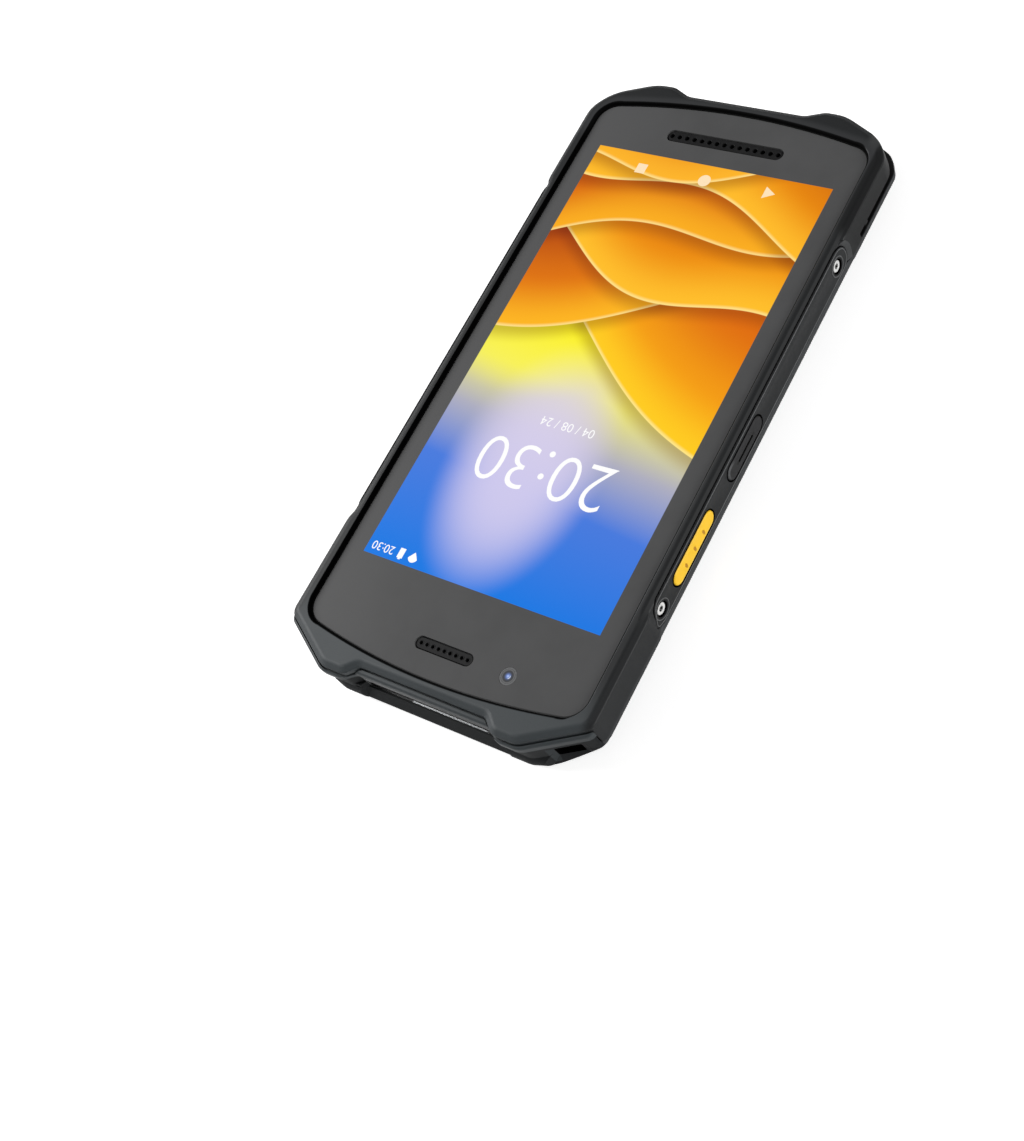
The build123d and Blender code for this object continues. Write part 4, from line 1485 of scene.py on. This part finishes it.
# ---- geometry trees ---------------------------------------------------------------------------
class Growth(NodeBuilder):
    """A Geometry Nodes tree with named inputs, run on a mesh."""

    def __init__(self, name: str) -> None:
        """Starts a tree that takes a geometry and a finish.

        Args:
            name: the tree's name.
        """
        super().__init__(bpy.data.node_groups.new(name, "GeometryNodeTree"))
        self.tree.is_modifier = True
        self.tree.interface.new_socket("Geometry", in_out="OUTPUT",
                                       socket_type="NodeSocketGeometry")
        self.source = self.tree.nodes.new("NodeGroupInput")
        self.result = self.tree.nodes.new("NodeGroupOutput")
        self.keys: dict[str, str] = {}
        self.start = self.take("Geometry", "NodeSocketGeometry")
        self.finish = self.take("Finish", "NodeSocketMaterial")

    def take(self, name: str, kind: str) -> bpy.types.NodeSocket:
        """Adds a named input.

        Args:
            name: its name.
            kind: its socket's type.

        Returns:
            Its socket inside the tree.
        """
        made = self.tree.interface.new_socket(name, in_out="INPUT", socket_type=kind)
        self.keys[name] = made.identifier
        return self.source.outputs[name]

    def end(self, geometry: bpy.types.NodeSocket) -> "Growth":
        """Closes the tree: instances are made real and take the finish.

        Args:
            geometry: what the tree has made.

        Returns:
            The tree itself.
        """
        real = self.node("GeometryNodeRealizeInstances", None, {0: geometry})
        dressed = self.node("GeometryNodeSetMaterial", None,
                            {"Geometry": real.outputs[0], "Material": self.finish})
        self.tree.links.new(dressed.outputs[0], self.result.inputs[0])
        return self

    def grow(self, seed: bpy.types.Mesh, finish: Finish, **inputs: Any) -> bpy.types.Mesh:
        """Runs the tree.

        Args:
            seed: the mesh that the tree starts from.
            finish: the finish of what it makes.
            inputs: values of the tree's other inputs, by name.

        Returns:
            The result as a plain mesh.
        """
        holder = stand(self.tree.name, seed)
        modifier = holder.modifiers.new(self.tree.name, "NODES")
        modifier.node_group = self.tree
        modifier[self.keys["Finish"]] = finish.material()
        for name, value in inputs.items():
            modifier[self.keys[name]] = value
        return evaluated_mesh(holder)


@cache
def repeat_tree() -> Growth:
    """Tree that sets one unit at every point, with its z axis along the point's facing.

    Returns:
        The tree, built once.
    """
    growth = Growth("repeat_unit")
    unit = growth.node("GeometryNodeObjectInfo", {"transform_space": "ORIGINAL"},
                       {"Object": growth.take("Unit", "NodeSocketObject")})
    facing = growth.node("GeometryNodeInputNamedAttribute", {"data_type": "FLOAT_VECTOR"},
                         {"Name": "facing"})
    turned = growth.node("FunctionNodeAlignRotationToVector", {"axis": "Z"},
                         {"Vector": facing.outputs["Attribute"]})
    placed = growth.node("GeometryNodeInstanceOnPoints", None,
                         {"Points": growth.start, "Instance": unit.outputs["Geometry"],
                          "Rotation": turned.outputs[0]})
    return growth.end(placed.outputs[0])


@cache
def bead_tree() -> Growth:
    """Tree that sweeps a round bead along closed loops.

    Returns:
        The tree, built once.
    """
    growth = Growth("sweep_bead")
    path = growth.node("GeometryNodeMeshToCurve", None, {"Mesh": growth.start})
    ring = growth.node("GeometryNodeCurvePrimitiveCircle", None,
                       {"Resolution": growth.take("Sides", "NodeSocketInt"),
                        "Radius": growth.take("Radius", "NodeSocketFloat")})
    bead = growth.node("GeometryNodeCurveToMesh", None,
                       {"Curve": path.outputs[0], "Profile Curve": ring.outputs[0]})
    return growth.end(bead.outputs[0])


@cache
def plate_tree() -> Growth:
    """Tree that fills an outline with holes in it and gives it a thickness.

    Returns:
        The tree, built once.
    """
    growth = Growth("fill_plate")
    path = growth.node("GeometryNodeMeshToCurve", None, {"Mesh": growth.start})
    floor = growth.node("GeometryNodeFillCurve", None, {"Curve": path.outputs[0]})
    raised = growth.node("GeometryNodeExtrudeMesh", None,
                         {"Mesh": floor.outputs[0], "Individual": False,
                          "Offset Scale": growth.take("Thickness", "NodeSocketFloat")})
    under = growth.node("GeometryNodeFlipFaces", None, {"Mesh": floor.outputs[0]})
    both = growth.node("GeometryNodeJoinGeometry")
    growth.tree.links.new(under.outputs[0], both.inputs[0])
    growth.tree.links.new(raised.outputs[0], both.inputs[0])
    shut = growth.node("GeometryNodeMergeByDistance", None,
                       {"Geometry": both.outputs[0], "Distance": 0.001 * MM})
    return growth.end(shut.outputs[0])


def repeated_piece(name: str, unit: bpy.types.Mesh, places: Sequence[tuple[Place, Place]],
                   finish: Finish) -> bpy.types.Object:
    """Sets a unit at every place, as one piece.

    Args:
        name: the piece's name.
        unit: the mesh that is repeated, about its own origin.
        places: where each one stands, in millimetres, and which way its z axis faces.
        finish: the finish of them all.

    Returns:
        The piece.
    """
    points = bpy.data.meshes.new("points")
    points.from_pydata([Vector(place) * MM for place, _ in places], [], [])
    facing = points.attributes.new("facing", "FLOAT_VECTOR", "POINT")
    for value, (_, direction) in zip(facing.data, places):
        value.vector = direction
    model = bpy.data.objects.new("unit", unit)
    mesh = repeat_tree().grow(points, finish, Unit=model)
    bpy.data.objects.remove(model)
    return new_piece(name, mesh, finish)


def bead(loops: Iterable[Loop], height: float, radius: float, finish: Finish,
         sides: int = 8) -> bpy.types.Mesh:
    """Sweeps a round bead along closed loops.

    Args:
        loops: the loops' points in millimetres.
        height: height of the points that give none.
        radius: the bead's radius in millimetres.
        finish: its finish.
        sides: faces round it.

    Returns:
        The bead's mesh.
    """
    return bead_tree().grow(loops_mesh(loops, height), finish, Sides=sides, Radius=radius * MM)


def bevelled(mesh: bpy.types.Mesh, width: float, segments: int = 2) -> bpy.types.Mesh:
    """Softens the sharp edges of a mesh.

    Args:
        mesh: the mesh.
        width: the bevel's width in millimetres.
        segments: faces across it.

    Returns:
        A new mesh.
    """
    holder = stand("bevelled", mesh)
    edge = holder.modifiers.new("edge", "BEVEL")
    edge.width = width * MM
    edge.segments = segments
    edge.limit_method = "ANGLE"
    edge.angle_limit = math.radians(50)
    return evaluated_mesh(holder)


# ---- sub-assemblies ---------------------------------------------------------------------------
@dataclass
class Housing:
    """Bumper, scan end cap and rear housing, and the seal round the glass."""

    outline: GlassOutline = field(default_factory=GlassOutline)
    seal_out: float = 0.2
    seal_z: float = 12.58
    seal_radius: float = 0.19

    def seal(self) -> None:
        """Sweeps the rubber seal that fills the gap round the glass; its near-black is also painted
        shade for the gap.
        """
        path = [self.outline.loop(self.seal_out)]
        mesh = bead(path, self.seal_z, self.seal_radius, Finish.SEAL, 10)
        new_piece("glass_seal", mesh, Finish.SEAL)

    def build(self) -> None:
        """Dresses the housing."""
        dress("front_bumper", Finish.BUMPER)
        dress("scan_end_cap", Finish.CAP)
        dress("rear_housing", Finish.HOUSING)
        self.seal()


@dataclass
class SideKeys:
    """Key strips with their screws, keys, flexes and switches.

    A strip's outline runs along the terminal's y and up its z: its ends, its lower and upper
    edge, and the tip where the upper end slants.
    """

    along: Point = (-46.1, 43.6)
    up: Point = (6.25, 12.95)
    tip: Point = (46.0, 7.4)
    slant_at: float = 43.4
    key_height: float = 4.0
    key_clear: float = 0.15
    flange_over: float = 1.0
    well_radius: float = 1.75
    back: float = 38.0
    plate_face: float = 39.03
    edge: float = 0.2
    waist: float = 38.9
    bevel_from: float = 12.9
    bevel_slope: float = 1.69
    seam_out: float = 0.08
    seam_key_out: float = 0.07
    seam_radius: float = 0.14
    edge_seam_radius: float = 0.105
    rim_in: float = 0.36
    rim_radius: float = 0.085
    rim_circle: float = 2.3
    ramp_centre: Point = (-42.2, 9.45)
    ramp_z: Point = (6.5, 12.75)
    screw_sunk: float = 0.28
    keys: dict[str, tuple[str, ...]] = field(default_factory=lambda: {
        "left": ("left_scan_trigger", "function_key"),
        "right": ("right_scan_trigger", "volume_rocker", "power_key")})

    def outline(self, grow: float = 0.0) -> Loop:
        """Outlines a strip, which is round below and slanted above.

        Args:
            grow: how far outside the strip's edge, in millimetres.

        Returns:
            The closed outline's points.
        """
        first, last = self.along[0] - grow, self.along[1] + grow
        low, high = self.up[0] - grow, self.up[1] + grow
        return rounded(((first, low, 3.1 + grow), (last, low, 0.6 + grow),
                        (self.tip[0] + grow, self.tip[1], 0.9),
                        (self.slant_at + grow, high, 2.8 + grow), (first, high, 3.3 + grow)))

    def key_holes(self, side: str, gap: float) -> list[Loop]:
        """Outlines the keys of a side.

        Args:
            side: "left" or "right".
            gap: distance from the keys, in millimetres.

        Returns:
            A closed outline round each key.
        """
        loops = []
        for key in self.keys[side]:
            low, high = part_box(key)
            length = (high[1] - low[1]) / MM - 2 * self.flange_over + 2 * gap
            middle = 0.5 * (low[1] + high[1]) / MM
            loops.append(stadium(middle, KEY_LINE, length, self.key_height + 2 * gap))
        return loops

    def screw_circles(self, radius: float) -> list[Loop]:
        """Circles round the two screws of a strip."""
        return [circle_points(y, KEY_LINE, radius) for y in STRIP_SCREWS_Y]

    def screw_places(self, out: float) -> list[tuple[Place, Place]]:
        """Place and facing of all four strip screws, out from the terminal's middle."""
        return [((side * out, y, KEY_LINE), (side, 0.0, 0.0))
                for side in (1.0, -1.0) for y in STRIP_SCREWS_Y]

    def wall(self, z: float) -> float:
        """How far out the bumper's wall lies beside the strip at a height."""
        return min(self.waist, self.waist - self.bevel_slope * (z - self.bevel_from))

    def on_wall(self, mesh: bpy.types.Mesh, side: str) -> bpy.types.Mesh:
        """Turns a flat mesh onto a side wall.

        Args:
            mesh: the mesh; its z points out of the wall, from the strip's back.
            side: "left" or "right".

        Returns:
            The same mesh.
        """
        out = 1.0 if side == "right" else -1.0
        moved(mesh, (0.0, 0.0, self.back))
        mesh.transform(Matrix(((0, 0, out, 0), (1, 0, 0, 0), (0, 1, 0, 0), (0, 0, 0, 1))))
        if out < 0:
            mesh.flip_normals()
        return mesh

    def strip(self, side: str) -> None:
        """Makes one strip, the dark seams round it and its keys, and its pale rim bead, which is a
        painted highlight.

        Args:
            side: "left" or "right".
        """
        face = self.plate_face - self.back
        loops = loops_mesh([self.outline(), *self.screw_circles(self.well_radius),
                            *self.key_holes(side, self.key_clear)])
        mesh = bevelled(plate_tree().grow(loops, Finish.STRIP, Thickness=face * MM), self.edge)
        plate = new_piece(f"{side}_strip_plate", self.on_wall(mesh, side), Finish.STRIP)
        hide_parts(f"{side}_key_strip")
        edge = [(y, z, self.wall(z) - self.back) for y, z in self.outline(self.seam_out)]
        gaps = self.key_holes(side, self.key_clear + self.seam_key_out)
        rims = [self.outline(-self.rim_in), *self.screw_circles(self.rim_circle)]
        for name, paths, radius, finish in (
                ("strip_seam", [edge], self.edge_seam_radius, Finish.SEAM),
                ("key_seams", gaps, self.seam_radius, Finish.SEAM),
                ("strip_rim", rims, self.rim_radius, Finish.RIM)):
            mesh = self.on_wall(bead(paths, face, radius, finish), side)
            new_piece(f"{side}_{name}", mesh, finish)

    def ramp(self, side: str) -> None:
        """Makes the sloping wall of the pocket round the lower end of a strip.

        Args:
            side: "left" or "right".
        """
        ring = lathe(((4.08, 0.66), (4.18, 0.74), (5.42, 1.46), (5.42, 0.2), (4.08, 0.2)), 96, True)
        middle, level = self.ramp_centre
        low, high = self.ramp_z
        mesh = clipped(moved(ring, (middle, level, 0.0)),
                       (((middle, 0, 0), (1, 0, 0)), ((0, high, 0), (0, 1, 0)),
                        ((0, low, 0), (0, -1, 0))))
        # the ramp's paler finish is a painted highlight
        new_piece(f"{side}_pocket_ramp", self.on_wall(mesh, side), Finish.RAMP)

    def screws(self) -> None:
        """Makes the ring-faced screws of both strips, and the dark wells that they sit in."""
        screw = lathe(((0.68, -3.6), (0.68, -0.75), (1.36, -0.7), (1.36, -0.1), (1.28, 0.0),
                       (0.66, 0.0), (0.6, -0.05, 0.05), (0.54, -1.7, 0.05)), 48)
        well = lathe(((1.2, -0.9), (1.2, -0.85), (1.72, -0.7), (1.74, -0.06), (1.86, 0.02),
                      (1.9, 0.0), (1.9, -0.05), (1.88, -0.9)), 48, True)
        sunk = self.screw_places(self.plate_face - self.screw_sunk)
        piece = repeated_piece("strip_screw_set", screw, sunk, Finish.RING_SCREW)
        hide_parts("key_strip_screws")
        flush = self.screw_places(self.plate_face)
        repeated_piece("screw_well_set", well, flush, Finish.SEAM)

    def build(self) -> None:
        """Makes and dresses both sides."""
        for side in ("left", "right"):
            self.strip(side)
            self.ramp(side)
            dress(f"{side}_scan_trigger", Finish.TRIGGER)
            dress(f"{side}_key_flex", Finish.FILM)
            dress(f"{side}_key_switches", Finish.SATIN)
        dress("function_key", Finish.GROOVED_KEY)
        for key in ("volume_rocker", "power_key"):
            dress(key, Finish.KEY)
        self.screws()


@dataclass
class Lettering:
    """Lit figures and signs on the screen, as thin shapes on the glass.

    Places are in screen millimetres, from the middle of the lit area.
    """

    thick: float = 0.03
    middle_y: float = -3.0
    figure_share: float = 0.73
    fan_place: Point = (18.6, 52.0)
    fan_reach: Point = (1.6, 2.4)
    cell_x: tuple[float, ...] = (21.2, 21.6, 22.2, 22.6)
    cell_y: tuple[float, ...] = (52.0, 54.3, 54.6)
    sign_y: float = -51.25
    sign_x: float = 17.25
    sign_half: float = 1.3

    def figures(self, name: str, text: str, centre: Point, height: float, finish: Finish,
                thin: float) -> bpy.types.Object:
        """Makes one line of figures.

        Args:
            name: the piece's name.
            text: the figures.
            centre: the middle of the line, in screen millimetres.
            height: height of a figure in millimetres.
            finish: its light.
            thin: how much the strokes are thinned, as a part of the height.

        Returns:
            The piece.
        """
        curve = bpy.data.curves.new(name, "FONT")
        curve.body = text
        curve.align_x = "CENTER"
        curve.align_y = "CENTER"
        curve.size = height * MM / self.figure_share
        curve.offset = -thin * height * MM
        curve.resolution_u = 6
        curve.extrude = 0.5 * self.thick * MM
        mesh = evaluated_mesh(stand(name, curve))
        across, along = ([point.co[axis] / MM for point in mesh.vertices] for axis in (0, 1))
        moved(mesh, (centre[0] - 0.5 * (min(across) + max(across)),
                     centre[1] + self.middle_y - 0.5 * (min(along) + max(along)),
                     GLASS_TOP + 0.5 * self.thick))
        return new_piece(name, mesh, finish)

    def signs(self, name: str, outlines: Iterable[Loop], finish: Finish) -> bpy.types.Object:
        """Makes one piece of flat signs.

        Args:
            name: the piece's name.
            outlines: the signs' outlines, in screen millimetres.
            finish: their light.

        Returns:
            The piece.
        """
        on_screen = [[(x, y + self.middle_y) for x, y in outline] for outline in outlines]
        mesh = flat_shapes(on_screen, GLASS_TOP, GLASS_TOP + self.thick)
        return new_piece(name, mesh, finish)

    def build(self) -> None:
        """Makes the clock, the date, the status row and the three navigation signs."""
        self.figures("clock_figures", "20:30", (0.0, 26.6), 11.6, Finish.WHITE_LIGHT, 0.02)
        self.figures("date_figures", "04 / 08 / 24", (0.0, 15.2), 2.2, Finish.WHITE_LIGHT, 0.01)
        self.figures("status_figures", "20:30", (26.9, 53.3), 2.0, Finish.WHITE_LIGHT, 0.005)
        (x, y), (wide, tall) = self.fan_place, self.fan_reach
        fan = [(x, y)] + [(x + wide * math.cos(turn), y + tall * math.sin(turn))
                          for turn in (math.radians(40 + 10 * n) for n in range(11))]
        left, neck, shoulder, right = self.cell_x
        low, high, top = self.cell_y
        cell = [(left, low), (right, low), (right, high), (shoulder, high), (shoulder, top),
                (neck, top), (neck, high), (left, high)]
        self.signs("status_signs", [fan, cell], Finish.WHITE_LIGHT)
        x, y, half = self.sign_x, self.sign_y, self.sign_half
        back = [(-x - 1.25, y), (-x + 1.55, y - 1.6), (-x + 1.55, y + 1.6)]
        home = circle_points(0.0, y, 1.55)
        square = [(x - half, y - half), (x + half, y - half), (x + half, y + half),
                  (x - half, y + half)]
        self.signs("navigation_signs", [back, home, square], Finish.CREAM_LIGHT)


@dataclass
class Grille:
    """A bar with a row of holes, and the rolled rim of each hole."""

    node: str
    y: float
    holes: int
    pitch: float
    radius: float
    top: float = 12.55

    def build(self) -> None:
        """Dresses the bar and makes its rims."""
        dress(self.node, Finish.GRILLE)
        hole = self.radius
        rim = lathe(((hole, -0.3), (hole - 0.03, 0.0), (hole + 0.05, 0.045), (hole + 0.16, 0.03),
                     (hole + 0.2, -0.02), (hole + 0.1, -0.3)), 28, True)
        first = -0.5 * self.pitch * (self.holes - 1)
        places = [((first + n * self.pitch, self.y, self.top), (0.0, 0.0, 1.0))
                  for n in range(self.holes)]
        name = self.node.replace("grille", "hole_rims")
        repeated_piece(name, rim, places, Finish.GRILLE)


@dataclass
class Screen:
    """Cover glass, display stack, grilles and front camera."""

    lettering: Lettering = field(default_factory=Lettering)
    grilles: tuple[Grille, ...] = (Grille("earpiece_grille", 66.3, 9, 1.52, 0.42),
                                   Grille("speaker_grille", -64.6, 15, 2.03, 0.62))
    cover_z: float = 12.74

    def build(self) -> None:
        """Dresses the screen's solids and lights its figures."""
        dress("touch_glass", Finish.GLASS)
        dress("display_panel", Finish.PANEL)
        dress("display_foam", Finish.FOAM)
        dress("glass_adhesive", Finish.FOAM)
        for grille in self.grilles:
            grille.build()
        cover = lathe(((1.58, -0.2), (1.6, -0.04), (1.55, 0.0)), 48)
        cover = moved(cover, (*FRONT_CAMERA, self.cover_z))
        new_piece("front_camera_cover", cover, Finish.COVER)
        dress("front_camera", Finish.BARREL)
        dress("front_camera_lens", Finish.LENS)
        self.lettering.build()


@dataclass
class ScanHead:
    """Scan window, its bezel and the engine behind it."""

    def build(self) -> None:
        """Dresses the scan head."""
        dress("scan_window", Finish.WINDOW)
        dress("scan_window_frame", Finish.BEZEL)
        dress("scan_engine", Finish.BLACK_METAL)


@dataclass
class Back:
    """Battery pack, latches, rear camera, flash, contacts and screws."""

    boss_x: float = 30.6
    boss_y: tuple[float, ...] = (-60.0, 2.0, 62.0)
    head_z: float = 0.4
    star: float = 0.16

    def screws(self) -> None:
        """Makes the six star-headed housing screws."""
        screw = lathe(((0.74, -9.1), (0.74, -0.92), (1.86, -0.88), (1.86, -0.14), (1.72, 0.0),
                       (1.02, 0.0), (0.9, -0.07, self.star), (0.88, -0.74, self.star)), 48)
        places = [((x, y, self.head_z), (0.0, 0.0, -1.0))
                  for x in (-self.boss_x, self.boss_x) for y in self.boss_y]
        piece = repeated_piece("housing_screw_set", screw, places, Finish.BLACK_SCREW)
        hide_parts("housing_screws")

    def build(self) -> None:
        """Dresses the back and makes its screws."""
        dress("battery_pack", Finish.HOUSING)
        for side in ("left", "right"):
            dress(f"{side}_battery_latch", Finish.STRIP)
        dress("rear_camera", Finish.BLACK_PLASTIC)
        dress("rear_camera_window", Finish.REAR_LENS)
        dress("flash_window", Finish.FLASH)
        dress("rear_contacts", Finish.GOLD)
        self.screws()


@dataclass
class Port:
    """USB socket and the gold contacts on its tongue."""

    tongue_z: Point = (5.65, 6.35)
    middle_y: float = -73.3
    length: float = 4.4
    width: float = 0.26
    count: int = 12
    pitch: float = 0.5
    sunk: float = 0.02
    proud: float = 0.03

    def build(self) -> None:
        """Dresses the socket and lays its contacts on both faces of the tongue."""
        dress("usb_connector", Finish.SATIN)
        bar = [(y, x) for x, y in reversed(stadium(0.0, 0.0, self.length, self.width, 5))]
        contact = flat_shapes([bar], -self.sunk, self.proud)
        first = -0.5 * self.pitch * (self.count - 1)
        places = [((first + n * self.pitch, self.middle_y, z), (0.0, 0.0, way))
                  for z, way in zip(self.tongue_z, (-1.0, 1.0)) for n in range(self.count)]
        repeated_piece("usb_contact_set", contact, places, Finish.GOLD)


@dataclass
class Inside:
    """Everything behind the glass that only shows when the terminal is opened."""

    def build(self) -> None:
        """Dresses the inner pieces."""
        finishes = {
            "chassis": Finish.CAST, "earpiece_receiver": Finish.BLACK_METAL,
            "loudspeaker": Finish.BLACK_PLASTIC, "main_board": Finish.BOARD,
            "board_spacers": Finish.BRIGHT, "board_screws": Finish.BRIGHT,
            "board_shields": Finish.SATIN, "card_holder": Finish.SATIN,
            "battery_connector": Finish.BLACK_PLASTIC, "io_board": Finish.BOARD,
            "vibration_motor": Finish.SATIN,
        }
        for node, finish in finishes.items():
            dress(node, finish)


# ---- studio -----------------------------------------------------------------------------------
@dataclass
class Studio:
    """Floor, soft lights, background and camera."""

    eye: Place = (-211.66, 129.32, 303.90)
    right: Place = (-0.83527116, -0.43603497, -0.3349561)
    down: Place = (-0.23651638, 0.83488051, -0.49702569)
    ahead: Place = (0.4963689, -0.33592862, -0.80048103)
    focal_px: float = 1783.28
    offset_px: Point = (188.909, -128.182)
    frame_px: tuple[int, int] = (1024, 1141)
    sensor: float = 36.0
    floor_size: float = 4.0
    fill: float = 0.26
    lift: float = 0.66
    glossy_share: float = 0.3
    floor_tones: tuple[Colour, Colour] = ((0.80, 0.80, 0.80), (0.81, 0.81, 0.81))
    lamps: tuple[tuple[str, Place, float, float], ...] = (
        ("key_light", (0.90, 0.12, 0.58), 0.6, 12.0),
        ("side_light", (-0.95, -0.15, 0.32), 0.5, 7.0))

    def camera(self) -> None:
        """Sets up the camera from its place, directions, focal length and centre offset."""
        data = bpy.data.cameras.new("camera")
        data.sensor_width = self.sensor
        data.lens = self.focal_px / self.frame_px[1] * self.sensor
        data.shift_x = -self.offset_px[0] / self.frame_px[1]
        data.shift_y = self.offset_px[1] / self.frame_px[1]
        data.clip_start = 0.01
        thing = stand("camera", data)
        rows = Matrix((self.right, [-c for c in self.down], [-c for c in self.ahead])).transposed()
        thing.matrix_world = Matrix.Translation(Vector(self.eye) * MM) @ rows.to_4x4()
        bpy.context.scene.camera = thing

    def floor(self) -> None:
        """Makes the pale floor: it takes the shadow, and looks white to the camera."""
        paint = Paint("floor_paint")
        speck = paint.noise(40.0, 3.0, 0.5)
        tone = paint.mix(speck, *self.floor_tones)
        matte = paint.node("ShaderNodeBsdfDiffuse", None, {"Color": tone})
        path = paint.node("ShaderNodeLightPath")
        seen = (Signal(paint, path.outputs["Is Camera Ray"])
                .most(Signal(paint, path.outputs["Is Glossy Ray"]) * self.glossy_share)
                .most(Signal(paint, path.outputs["Is Transmission Ray"])))
        lift = paint.node("ShaderNodeEmission", None, {"Strength": seen * self.lift})
        both = paint.node("ShaderNodeAddShader", None, {0: Signal(paint, matte.outputs[0]),
                                                       1: Signal(paint, lift.outputs[0])})
        paint.tree.links.new(both.outputs[0], paint.output.inputs["Surface"])
        half = 0.5 * self.floor_size
        mesh = bpy.data.meshes.new("floor")
        mesh.from_pydata([(-half, -half, 0), (half, -half, 0), (half, half, 0), (-half, half, 0)],
                         [], [(0, 1, 2, 3)])
        mesh.materials.append(paint.material)
        stand("floor", mesh)

    def lamp(self, name: str, place: Place, size: float, watts: float) -> None:
        """Adds a square soft light that faces the terminal.

        Args:
            name: the lamp's name.
            place: where it hangs, in metres.
            size: length of its side in metres.
            watts: its power.
        """
        data = bpy.data.lights.new(name, "AREA")
        data.shape = "SQUARE"
        data.size = size
        data.energy = watts
        thing = stand(name, data)
        thing.location = place
        thing.rotation_euler = (-Vector(place)).to_track_quat("-Z", "Y").to_euler()

    def world(self) -> None:
        """Sets an even pale surround."""
        world = bpy.data.worlds.new("surround")
        world.use_nodes = True
        back = world.node_tree.nodes["Background"]
        back.inputs["Color"].default_value = (1.0, 1.0, 1.0, 1.0)
        back.inputs["Strength"].default_value = self.fill
        bpy.context.scene.world = world

    def build(self) -> None:
        """Builds the whole studio."""
        self.world()
        self.floor()
        for lamp in self.lamps:
            self.lamp(*lamp)
        self.camera()
        bpy.context.scene.view_settings.view_transform = "Standard"


def main() -> None:
    """Builds the terminal and its studio, in order."""
    logging.basicConfig(level=logging.INFO, format="%(name)s: %(message)s")
    for part in (Housing(), SideKeys(), Screen(), ScanHead(), Back(), Port(), Inside()):
        LOG.info("building %s", type(part).__name__)
        part.build()
    Studio().build()


if __name__ == "__main__":
    main()
